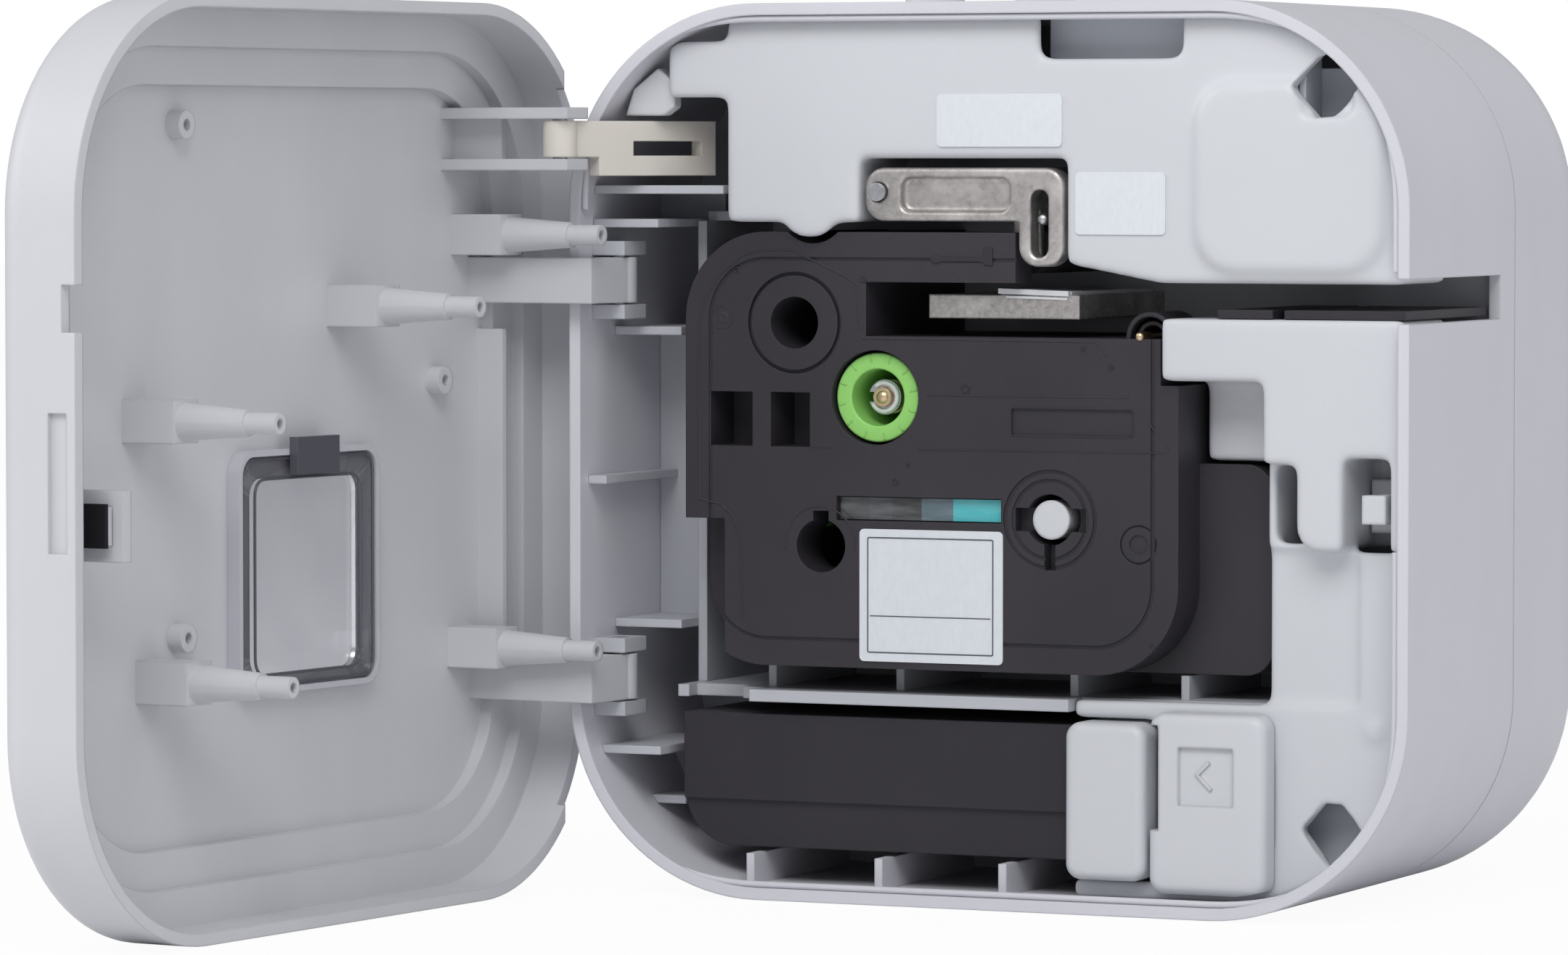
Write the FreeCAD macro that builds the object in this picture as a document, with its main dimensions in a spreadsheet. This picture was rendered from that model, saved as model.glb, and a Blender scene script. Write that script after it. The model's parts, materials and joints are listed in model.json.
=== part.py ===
"""Desktop label maker with its front door swung open, tape cassette and battery in place.

Frame: X to the right, Y towards the back, Z up, millimetres.  The origin is the centre of the
base.  Pieces are drawn in body coordinates, whose Y starts at the rim plane where the door meets
the body, and each piece's Placement moves it half the body's depth forward.
"""
import FreeCAD, Part
import math
import os
import re

import Sketcher

SIZES = {
    # Body and door
    "body_width": 148.0, "body_height": 148.0, "body_depth": 100.0, "corner_radius": 34.0,
    "shell_wall": 2.0, "seam_depth": 52.0, "seam_gap": 0.35, "seam_tongue": 2.0, "rear_round": 22.0,
    "door_depth": 15.5, "door_wall": 2.0, "door_round": 5.0, "door_step_inset": 6.0,
    "door_step_rise": 2.2, "rim_relief": 1.6, "relief_width": 9.0,
    # Hinge
    "hinge_side_gap": 0.2, "hinge_behind_rim": 8.4, "hinge_pin_radius": 1.45, "hinge_clearance": 0.06,
    "arm_boss_radius": 3.0, "arm_leg_top": 2.6, "arm_leg_under": 1.0, "arm_reach": 10.0,
    "arm_thickness": 3.0, "upper_arm_bottom": 98.4, "lower_arm_bottom": 32.0, "arm_height": 7.6,
    "bracket_plate": 2.4, "bracket_gap": 0.3, "bracket_reach": 8.0, "bracket_front": 4.6,
    "bracket_back": 13.0, "door_open_angle": 96.0,
    # Door interior
    "post_radius": 3.0, "post_waist": 2.1, "post_tip": 14.2, "post_tip_radius": 1.7,
    "post_tip_length": 5.8, "post_bore": 0.8, "post_bore_depth": 6.0, "post_foot": 6.8,
    "post_foot_rise": 9.7,
    "top_post_across": -54.0, "top_post_up": 109.8, "head_post_across": -17.0, "head_post_up": 98.6,
    "side_post_across": 40.0, "side_post_up": 81.6, "low_post_across": 36.6, "low_post_up": 40.6,
    "hinge_post_across": -52.6, "hinge_post_up": 41.0,
    "boss_radius": 2.3, "boss_rise": 2.6, "boss_bore": 0.9, "side_boss_across": 29.2,
    "upper_boss_up": 127.8, "lower_boss_up": 47.0, "mid_boss_across": -44.9, "mid_boss_up": 85.7,
    "groove_depth": 0.8, "groove_width": 3.4,
    "groove_reach": 1.7, "groove_bottom": 62.6, "groove_top": 83.9, "door_rib": 1.4,
    "door_rib_rise": 5.0, "rib_across": -60.0,
    "ear_left": -54.2, "ear_right": -47.6, "ear_tip": 11.4, "ear_plate": 1.9,
    "link_pin_across": -50.9, "link_pin_behind": 8.0, "link_pin_radius": 1.2,
    # Door stay link
    "link_bottom": 119.6, "link_neck_bottom": 122.7, "link_top": 128.7, "link_gap": 0.3,
    "link_thickness": 2.8, "link_length": 31.0, "link_neck": 7.0, "link_barrel_radius": 2.8,
    "link_angle": 61.5, "link_clearance": 0.06, "link_slot_start": 14.0, "link_slot_width": 2.4,
    # Window
    "window_left": -20.6, "window_right": 10.0, "window_bottom": 39.6, "window_top": 71.4,
    "window_corner": 3.0, "window_gap": 0.1, "lens_thickness": 1.6, "lens_side": 3.8,
    "lens_over": 3.4, "lens_under": 1.8, "bezel_width": 1.0, "bezel_rise": 2.4, "clip_width": 12.0,
    "clip_height": 6.0, "clip_thickness": 1.6,
    # Door catch and latch hook
    "catch_from_side": 11.0, "catch_plate": 2.0, "catch_bottom": 61.0, "catch_top": 72.0,
    "catch_reach": 2.4, "catch_hole_bottom": 63.5, "catch_hole_top": 69.5, "catch_hole_front": -4.4,
    "catch_hole_back": 0.2,
    "hook_from_side": 7.8, "hook_width": 2.6, "hook_nose": 1.4, "hook_bottom": 64.2, "hook_top": 68.8,
    "hook_front": 3.6, "hook_back": 16.0, "hook_plate": 2.2, "recess_left": 61.6,
    "recess_right": 69.6, "recess_bottom": 59.4, "recess_top": 74.6, "recess_depth": 16.6,
    # Front housing
    "housing_front": 3.0, "housing_depth": 21.0, "housing_skin": 2.0, "housing_gap": 0.05,
    "top_block_left": -46.75, "top_block_bottom": 112.0, "lever_gap_left": -22.8,
    "lever_gap_right": 13.9, "lever_gap_top": 122.5, "right_block_bottom": 102.4,
    "slope_right": 30.0, "slope_top": 105.4, "tab_left": -57.5, "tab_bottom": 132.5,
    "tab_top": 142.0, "tab_plate": 2.4, "lug_across": -31.8, "lug_up": 114.9, "lug_radius": 5.6,
    "raised_left": 36.3, "raised_right": 69.0, "raised_bottom": 104.0, "raised_top": 135.0,
    "raised_height": 1.6, "raised_corner": 7.0, "hole_left": 54.7, "hole_right": 64.0,
    "upper_hole_bottom": 129.0, "upper_hole_top": 139.0, "lower_hole_bottom": 9.1,
    "lower_hole_top": 18.4, "hole_depth": 6.0, "top_recess_left": 9.4, "top_recess_right": 33.9,
    "top_recess_bottom": 138.7, "top_recess_depth": 6.0,
    "side_block_left": 30.5, "side_block_bottom": 86.6, "slot_bottom": 96.7,
    "second_step_left": 48.0, "second_step_bottom": 73.4, "inner_step_left": 34.0,
    "inner_step_front": 15.0, "third_step_left": 53.6, "third_step_bottom": 59.6,
    "step_round": 1.6, "panel_front": 8.0, "panel_thickness": 2.6, "panel_left": 13.4,
    "panel_recess_right": 62.8, "panel_recess_top": 62.0, "panel_recess_depth": 1.2,
    "panel_boss_across": 65.5, "panel_boss_up": 30.8, "panel_boss_radius": 1.6,
    # Tape exit
    "guide_left": 40.0, "guide_plate": 1.5, "guide_gap": 0.2, "guide_front": 4.0,
    "guide_back": 44.4, "exit_bottom": 96.2, "exit_top": 103.4, "blade_across": 50.0,
    "blade_thickness": 0.8, "blade_front": 9.0, "blade_back": 43.0, "blade_bottom": 103.2,
    "blade_height": 13.0, "blade_clearance": 0.6, "blade_travel": 5.0,
    # Cassette bay
    "bay_back": 47.0, "bulkhead_thickness": 2.4, "bay_left": -58.0, "bay_wall": 1.6,
    "bay_wall_front": 20.0, "bay_right": 47.0, "bay_floor_clearance": 0.3,
    "shelf_bottom": 32.4, "shelf_top": 34.4, "shelf_front": 12.0, "lip_left": -43.8,
    "lip_front": 6.0, "base_rib_top": 7.2, "base_rib_front": 5.0,
    "base_rib_back": 44.0,
    # Cassette
    "cassette_front": 5.0, "cassette_left": -54.9, "cassette_right": 32.9,
    "cassette_bottom": 38.6, "cassette_top": 110.4, "cassette_round": 14.5,
    "cassette_back": 46.6, "flange_front": 14.6, "flange_right": 45.8, "flange_top": 72.9,
    "cover_wall": 1.6, "notch_right": -47.8, "notch_top": 62.8, "head_slot_left": -22.2,
    "head_slot_bottom": 93.3, "head_slot_top": 102.2, "arm_right": 4.4, "arm_top_right": 100.0,
    "shoulder_right": 29.8, "shoulder_bottom": 85.8, "arm_back": 12.0,
    "guide_hole_across": -35.1, "guide_hole_up": 95.4, "guide_hole_radius": 4.3,
    "ring_radius": 8.4, "ring_depth": 0.8, "window_hole_bottom": 74.9, "window_hole_top": 83.9,
    "first_hole_left": -50.5, "first_hole_right": -42.7, "second_hole_left": -39.4,
    "second_hole_right": -32.3, "keyhole_across": -30.3, "keyhole_up": 58.6,
    "keyhole_radius": 4.4, "keyhole_slot": 2.8, "ribbon_slot_left": -27.5, "ribbon_slot_right": 1.9,
    "ribbon_slot_bottom": 62.9, "ribbon_slot_top": 66.9, "plate_left": 3.7, "plate_right": 25.0,
    "plate_bottom": 77.4, "plate_top": 81.8, "plate_depth": 0.5, "sticker_left": -23.2,
    "sticker_right": 2.3, "sticker_bottom": 39.8, "sticker_top": 61.6, "paper": 0.3,
    "spindle_across": 10.5, "spindle_up": 63.7, "spindle_ring_radius": 8.2,
    "spindle_radius": 3.2, "spindle_length": 7.0, "spool_across": -20.6, "spool_up": 83.2,
    "spool_radius": 7.4, "spool_bore": 4.6, "spool_length": 38.0, "spool_front": 6.2,
    "spool_clearance": 0.4, "spool_notch": 0.7, "spool_notch_depth": 0.8,
    "spool_notches": 12.0,
    "ribbon_spool_across": -39.0, "ribbon_spool_up": 66.0, "ribbon_spool_radius": 6.0,
    "roll_across": 26.0, "roll_up": 60.0, "roll_radius": 8.2, "roll_bore": 3.0,
    "border_inset": 4.2, "border_width": 0.6, "border_depth": 0.35, "cross_reach": 6.2,
    "cross_width": 3.8, "cross_depth": 3.0, "mark_radius": 3.2,
    # Take-up drive
    "shaft_radius": 1.6, "shaft_front": 8.0, "shaft_collar_radius": 2.8, "clip_ring_radius": 2.9,
    "clip_ring_thickness": 0.8, "clip_ring_behind_tip": 1.2, "bearing_clearance": 0.05,
    "gear_module": 0.8, "drive_teeth": 40.0, "pinion_teeth": 12.0, "gear_width": 5.0,
    "gear_gap": 1.6, "mesh_gap": 0.15, "tooth_share": 0.34, "addendum": 0.6, "dedendum": 0.9,
    "motor_radius": 12.0, "motor_length": 26.0, "motor_shaft_radius": 1.0, "motor_gap": 0.6,
    # Print head, lever and roller
    "head_left": -12.6, "head_right": 14.0, "head_bottom": 96.3, "head_top": 100.2,
    "head_front": 9.0, "strip_left": 0.0, "strip_right": 12.4, "strip_height": 0.6,
    "strip_front": 9.6, "lever_pivot_across": -19.6, "lever_pivot_up": 117.0,
    "lever_pin_radius": 1.5, "lever_clearance": 0.06, "lever_front": 4.0,
    "lever_thickness": 4.0, "lever_bar_bottom": 112.2, "lever_top": 121.0, "lever_left": -22.0,
    "lever_right": 13.2, "lobe_left": 5.2, "lobe_bottom": 104.9, "lever_slot_left": 7.4,
    "lever_slot_right": 10.4, "lever_slot_bottom": 106.4, "lever_slot_top": 117.4,
    "lever_hollow_depth": 1.8, "lever_rim": 1.6, "lever_corner": 3.2, "lever_edge": 0.6,
    "roller_across": 3.0, "roller_up": 107.6,
    "roller_radius": 4.0, "roller_shaft_radius": 1.4, "roller_front": 15.0, "roller_back": 43.0,
    "holder_plate": 1.6, "holder_gap": 0.3, "holder_half_width": 2.6,
    # Battery
    "battery_left": -56.6, "battery_right": 13.0, "battery_bottom": 8.0, "battery_top": 30.2,
    "battery_front": 8.0, "battery_back": 46.0, "battery_round": 9.0, "battery_step": 15.8,
    "battery_setback": 0.8, "retainer_left": 13.6, "retainer_right": 27.6,
    "retainer_bottom": 5.3, "retainer_top": 31.0, "retainer_front": 3.4, "latch_left": 28.4,
    "latch_right": 48.6, "latch_bottom": 3.6, "latch_top": 33.0, "latch_front": 3.0,
    "latch_travel": 4.0, "latch_corner": 2.6, "latch_edge": 1.6, "latch_gap": 0.3,
    "latch_notch": 1.9, "latch_notch_bottom": 13.9, "latch_notch_top": 31.0,
    "latch_square": 9.4, "latch_square_left": 33.7, "latch_square_bottom": 18.1,
    "latch_square_depth": 0.8, "chevron": 3.2, "chevron_width": 0.5, "contact_width": 1.2,
    # Frame beside the hinge
    "frame_behind": 31.0, "frame_plate": 1.4, "frame_low": 43.7,
    "frame_high": 94.3, "frame_rib_up": 68.2, "frame_rib_reach": 3.4, "frame_rib_front": 3.0,
    "link_shelf_up": 116.6, "link_shelf_right": -48.0, "post_shelf_up": 111.0,
    "post_shelf_right": -60.0, "side_shelf_up": 23.0, "side_rib_up": 14.0, "side_shelf_front": 5.0,
    # Buttons, light and sockets
    "button_radius": 5.0, "button_rise": 1.4, "button_clearance": 0.3,
    "button_flange": 1.2, "button_flange_height": 1.2, "button_behind_rim": 38.0,
    "power_across": -24.0, "feed_across": -4.0, "release_across": 20.0, "light_across": -37.0,
    "light_radius": 1.2, "inlet_across": 34.0, "inlet_up": 24.0, "inlet_width": 11.0,
    "inlet_height": 13.0, "inlet_depth": 14.0, "inlet_bore": 3.0, "usb_across": 12.0,
    "usb_width": 9.0, "usb_height": 3.6, "usb_depth": 8.0, "socket_wall": 0.8,
    # Feet, screws and board
    "foot_width": 16.0, "foot_length": 10.0, "foot_thickness": 1.2, "foot_across": 28.0,
    "foot_from_rim": 6.0, "board_thickness": 1.6, "screw_radius": 2.6, "screw_head": 1.6,
    "screw_across": 30.0, "screw_up": 36.0, "screw_boss_radius": 4.2,
    # Blank stickers
    "pale_left": -8.6, "pale_right": 13.4, "pale_bottom": 124.4, "pale_top": 133.0,
    "header_left": 15.8, "header_right": 31.4, "header_bottom": 110.2, "header_top": 120.3,
}

ALONG = {"x": FreeCAD.Vector(1, 0, 0), "y": FreeCAD.Vector(0, 1, 0), "z": FreeCAD.Vector(0, 0, 1)}
NAMES = re.compile(r"\b[a-z]+(?:_[a-z]+)+\b|\bpaper\b|\baddendum\b|\bdedendum\b|\bchevron\b")

doc = FreeCAD.newDocument("label_maker")
sheet = doc.addObject("Spreadsheet::Sheet", "Sizes")
for row, (alias, value) in enumerate(SIZES.items(), start=1):
    sheet.set("A%d" % row, alias)
    sheet.set("B%d" % row, str(value))
    sheet.setAlias("B%d" % row, alias)
doc.recompute()


def size(name):
    """The sheet's present value of one named size."""
    return float(sheet.get(name))


def formula(text):
    """An expression on the sheet, from text that uses the sizes' plain names."""
    return NAMES.sub(lambda match: "Sizes." + match.group(0), str(text))


def tie(item, **bindings):
    """Bind properties to formulas; a double underscore stands for a dot."""
    for path, text in bindings.items():
        item.setExpression(path.replace("__", "."), formula(text))


# ---------------------------------------------------------------- primitives and booleans
def block(across, behind, up):
    """A box between two formulas along each axis."""
    box = doc.addObject("Part::Box", "Block")
    tie(box, Length="(%s) - (%s)" % (across[1], across[0]), Placement__Base__x=across[0])
    tie(box, Width="(%s) - (%s)" % (behind[1], behind[0]), Placement__Base__y=behind[0])
    tie(box, Height="(%s) - (%s)" % (up[1], up[0]), Placement__Base__z=up[0])
    return box


def rod(axis, centre, radius, limits):
    """A cylinder along an axis, through a point given in the other two axes' order."""
    others = [name for name in "xyz" if name != axis]
    cylinder = doc.addObject("Part::Cylinder", "Rod")
    turn = FreeCAD.Rotation(FreeCAD.Vector(0, 0, 1), ALONG[axis])
    cylinder.Placement = FreeCAD.Placement(FreeCAD.Vector(), turn)
    tie(cylinder, Radius=radius, Height="(%s) - (%s)" % (limits[1], limits[0]))
    cylinder.setExpression("Placement.Base." + axis, formula(limits[0]))
    for name, place in zip(others, centre):
        cylinder.setExpression("Placement.Base." + name, formula(place))
    return cylinder


def cone(centre, radii, limits):
    """A cone along Y from the first radius to the second."""
    taper = doc.addObject("Part::Cone", "Cone")
    turn = FreeCAD.Rotation(FreeCAD.Vector(0, 0, 1), ALONG["y"])
    taper.Placement = FreeCAD.Placement(FreeCAD.Vector(), turn)
    tie(taper, Radius1=radii[0], Radius2=radii[1], Height="(%s) - (%s)" % (limits[1], limits[0]))
    tie(taper, Placement__Base__x=centre[0], Placement__Base__y=limits[0], Placement__Base__z=centre[1])
    return taper


def join(*solids):
    """One solid from several."""
    if len(solids) == 1:
        return solids[0]
    fuse = doc.addObject("Part::MultiFuse", "Join")
    fuse.Shapes = list(solids)
    fuse.Refine = True
    return fuse


def less(base, *tools):
    """A solid with others cut away from it."""
    cut = doc.addObject("Part::Cut", "Less")
    cut.Base = base
    cut.Tool = join(*tools)
    return cut


def within(base, tool):
    """What two solids share."""
    common = doc.addObject("Part::Common", "Within")
    common.Base = base
    common.Tool = tool
    return common


def pillow(across, behind, up, corner, front_round=None, back_round=None):
    """A body with a rounded rectangle for its outline, padded backwards, its end edges rounded."""
    body = doc.addObject("PartDesign::Body", "Pillow")
    sketch = body.newObject("Sketcher::SketchObject", "Outline")
    plane = [item for item in body.Origin.OriginFeatures if item.Role == "XZ_Plane"][0]
    sketch.AttachmentSupport = [(plane, "")]
    sketch.MapMode = "FlatFace"
    draw_rounded_rectangle(sketch)
    tie(sketch, Constraints__left=across[0], Constraints__right=across[1])
    tie(sketch, Constraints__bottom=up[0], Constraints__top=up[1], Constraints__corner=corner)
    pad = body.newObject("PartDesign::Pad", "Depth")
    pad.Profile = sketch
    pad.Reversed = True
    tie(pad, Length="(%s) - (%s)" % (behind[1], behind[0]))
    tie(body, Placement__Base__y=behind[0])
    doc.recompute()
    for round_size, at_back in ((front_round, False), (back_round, True)):
        if round_size is None:
            continue
        base = body.Tip
        solid = base.Shape
        level = solid.BoundBox.YMax if at_back else solid.BoundBox.YMin
        names = ["Edge%d" % number for number, edge in enumerate(solid.Edges, start=1)
                 if edge.BoundBox.YLength < 1e-6 and abs(edge.BoundBox.YMin - level) < 1e-6]
        fillet = body.newObject("PartDesign::Fillet", "Edge")
        fillet.Base = (base, names)
        tie(fillet, Radius=round_size)
        doc.recompute()
    return body


def draw_rounded_rectangle(sketch):
    """Four lines and four corner arcs, fixed by the places of the sides and one radius."""
    half, radius = 60.0, 10.0
    inner = half - radius
    ends = [((-inner, -half), (inner, -half)), ((half, -inner), (half, inner)),
            ((inner, half), (-inner, half)), ((-half, inner), (-half, -inner))]
    for start, end in ends:
        sketch.addGeometry(Part.LineSegment(FreeCAD.Vector(*start, 0), FreeCAD.Vector(*end, 0)), False)
    centres = [(inner, -inner), (inner, inner), (-inner, inner), (-inner, -inner)]
    for quarter, centre in enumerate(centres):
        circle = Part.Circle(FreeCAD.Vector(*centre, 0), FreeCAD.Vector(0, 0, 1), radius)
        first = (quarter - 1) * math.pi / 2
        sketch.addGeometry(Part.ArcOfCircle(circle, first, first + math.pi / 2), False)
    for side in range(4):
        arc = side + 4
        sketch.addConstraint(Sketcher.Constraint("Tangent", side, 2, arc, 1))
        sketch.addConstraint(Sketcher.Constraint("Tangent", arc, 2, (side + 1) % 4, 1))
        if side:
            sketch.addConstraint(Sketcher.Constraint("Equal", 4, arc))
    sketch.addConstraint(Sketcher.Constraint("Horizontal", 0))
    sketch.addConstraint(Sketcher.Constraint("Vertical", 1))
    sketch.addConstraint(Sketcher.Constraint("Horizontal", 2))
    sketch.addConstraint(Sketcher.Constraint("Vertical", 3))
    named = [("left", "DistanceX", 3, -half), ("right", "DistanceX", 1, half),
             ("bottom", "DistanceY", 0, -half), ("top", "DistanceY", 2, half)]
    for name, kind, line, place in named:
        number = sketch.addConstraint(Sketcher.Constraint(kind, -1, 1, line, 1, place))
        sketch.renameConstraint(number, name)
    number = sketch.addConstraint(Sketcher.Constraint("Radius", 4, radius))
    sketch.renameConstraint(number, "corner")


# ---------------------------------------------------------------- naming and placing
nodes = []


def place_in_body(name, *solids):
    """A piece fixed in, or at rest in, the body."""
    piece = doc.addObject("Part::Compound", name)
    piece.Label = name
    piece.Links = list(solids)
    tie(piece, Placement__Base__y="-body_depth / 2")
    nodes.append(piece)
    return piece


HINGE_X = "(-body_width / 2 + shell_wall + arm_boss_radius + hinge_side_gap)"
HINGE_Y = "hinge_behind_rim"


def turned(across, behind):
    """Where a point of the closed door lies once the door stands open, as two formulas."""
    x, y = "((%s) - %s)" % (across, HINGE_X), "((%s) - %s)" % (behind, HINGE_Y)
    cosine, sine = "cos(door_open_angle)", "sin(door_open_angle)"
    return ("%s + %s * %s + %s * %s" % (HINGE_X, x, cosine, y, sine),
            "%s - %s * %s + %s * %s" % (HINGE_Y, x, sine, y, cosine))


def place_on_door(name, *solids):
    """A piece of the door, drawn closed and swung open about the hinge."""
    piece = doc.addObject("Part::Compound", name)
    piece.Label = name
    piece.Links = list(solids)
    piece.Placement = FreeCAD.Placement(FreeCAD.Vector(), FreeCAD.Rotation(FreeCAD.Vector(0, 0, -1), 90))
    corner_x, corner_y = turned("0", "0")
    tie(piece, Placement__Rotation__Angle="door_open_angle")
    tie(piece, Placement__Base__x=corner_x, Placement__Base__y=corner_y + " - body_depth / 2")
    nodes.append(piece)
    return piece


# ---------------------------------------------------------------- body
LEFT, RIGHT = "-body_width / 2", "body_width / 2"
INNER_LEFT, INNER_RIGHT = "-body_width / 2 + shell_wall", "body_width / 2 - shell_wall"
INNER_TOP = "body_height - shell_wall"
HOUSING_BACK = "housing_front + housing_depth"
BAY_BEHIND = "bay_back + bulkhead_thickness"


def inner_space(behind, gap="0"):
    """The space inside the shell's wall, less a gap."""
    return pillow((INNER_LEFT + " + " + gap, INNER_RIGHT + " - " + gap), behind,
                  ("shell_wall + " + gap,
                   INNER_TOP + " - " + gap), "corner_radius - shell_wall - " + gap)


def half_wall(behind, gap):
    """The space inside the middle of the shell's wall, less a gap."""
    inset = "(shell_wall / 2 + %s)" % gap
    return pillow((LEFT + " + " + inset, RIGHT + " - " + inset), behind,
                  (inset, "body_height - " + inset), "corner_radius - " + inset)


def body_shell():
    """The front shell: a rounded tube with base ribs, button holes, foot pockets and tape exit."""
    tube = less(pillow((LEFT, RIGHT), ("0", "seam_depth - seam_gap"), ("0", "body_height"),
                       "corner_radius"),
                inner_space(("-1", "seam_depth + 1")),
                half_wall(("seam_depth - seam_tongue - 0.05", "seam_depth + 1"), "0"))
    ribs = [block(("%s" % at, "%s + door_rib" % at), ("base_rib_front", "base_rib_back"),
                  ("shell_wall / 2", "base_rib_top"))
            for at in ("lip_left", "spool_across", "spindle_across - 9")]
    openings = [button_hole(at) for at in ("power_across", "feed_across", "release_across")]
    openings.append(rod("z", ("light_across", "button_behind_rim"), "light_radius",
                        ("body_height - 2 * shell_wall", "body_height + 1")))
    openings.append(block((INNER_RIGHT + " - 1", RIGHT + " + 1"), ("-1", "guide_back"),
                          ("exit_bottom", "exit_top")))
    openings += [foot_block(side, near, "foot_thickness") for side in (-1, 1) for near in (True, False)]
    place_in_body("body_shell", less(join(tube, *ribs), *openings))


def button_hole(across):
    """The bore of one button in the top."""
    return rod("z", (across, "button_behind_rim"), "button_radius + button_clearance",
               ("body_height - 2 * shell_wall", "body_height + 1"))


def foot_block(side, near, top):
    """One foot pad, or its pocket in the base."""
    middle = "%d * foot_across" % side
    front = "foot_from_rim" if near else "seam_depth - foot_from_rim - foot_length"
    return block((middle + " - foot_width / 2", middle + " + foot_width / 2"),
                 (front, front + " + foot_length"), ("0", top))


def foot_pads():
    """Four rubber pads, flush with the base."""
    pads = [foot_block(side, near, "foot_thickness") for side in (-1, 1) for near in (True, False)]
    place_in_body("foot_pads", *pads)


def rear_cover():
    """The rear cover: a deep cup with a large rounded back edge, screw bosses and socket openings."""
    outer = pillow((LEFT, RIGHT), ("seam_depth", "body_depth"), ("0", "body_height"),
                   "corner_radius", back_round="rear_round")
    inner = pillow((INNER_LEFT, INNER_RIGHT), ("seam_depth - 1", "body_depth - shell_wall"),
                   ("shell_wall", INNER_TOP), "corner_radius - shell_wall",
                   back_round="rear_round - shell_wall")
    bosses = [rod("y", (across, up), "screw_boss_radius", (BAY_BEHIND, "body_depth - shell_wall / 2"))
              for across, up in SCREW_PLACES]
    heads = [rod("y", (across, up), "screw_radius", ("body_depth - screw_head", "body_depth + 1"))
             for across, up in SCREW_PLACES]
    sockets = [block(("inlet_across - inlet_width / 2", "inlet_across + inlet_width / 2"),
                     ("body_depth - 2 * shell_wall", "body_depth + 1"),
                     ("inlet_up - inlet_height / 2", "inlet_up + inlet_height / 2")),
               block(("usb_across - usb_width / 2", "usb_across + usb_width / 2"),
                     ("body_depth - 2 * shell_wall", "body_depth + 1"),
                     ("inlet_up - usb_height / 2", "inlet_up + usb_height / 2"))]
    tongue = less(half_wall(("seam_depth - seam_tongue", "seam_depth + 1"), "0.05"),
                  inner_space(("0", "body_depth")))
    place_in_body("rear_cover", less(join(less(outer, inner), tongue, *bosses), *heads, *sockets))


SCREW_PLACES = [("%d * screw_across" % side, up) for side in (-1, 1)
                for up in ("screw_up + 6", "body_height - screw_up")]


def cover_screws():
    """Four screw heads in the rear cover."""
    heads = [rod("y", place, "screw_radius", ("body_depth - screw_head", "body_depth - 0.4"))
             for place in SCREW_PLACES]
    place_in_body("cover_screws", *heads)


# ---------------------------------------------------------------- front housing
def sloping_cut(deep):
    """The space under the right block's slanting lower edge."""
    height = "3 * step_round"
    fall = "atan((slope_top - right_block_bottom) / (slope_right - lever_gap_right))"
    wedge = block(("0", "slope_right - lever_gap_right"), deep, ("0", height))
    wedge.Placement = FreeCAD.Placement(FreeCAD.Vector(), FreeCAD.Rotation(ALONG["y"], 10))
    tie(wedge, Placement__Rotation__Angle=fall, Placement__Base__y=deep[0])
    tie(wedge, Placement__Base__x="lever_gap_right - %s * sin(%s)" % (height, fall))
    tie(wedge, Placement__Base__z="slope_top - %s * cos(%s)" % (height, fall))
    return wedge


def corner_hole(bottom, top):
    """A hole with one corner cut round by the shell's own curve."""
    outline = pillow(("hole_left", "hole_right"),
                     ("housing_front - 3", "panel_front + panel_thickness + 1"),
                     (bottom, top), "step_round")
    return within(outline, inner_space(("-1", HOUSING_BACK), "step_round"))


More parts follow.
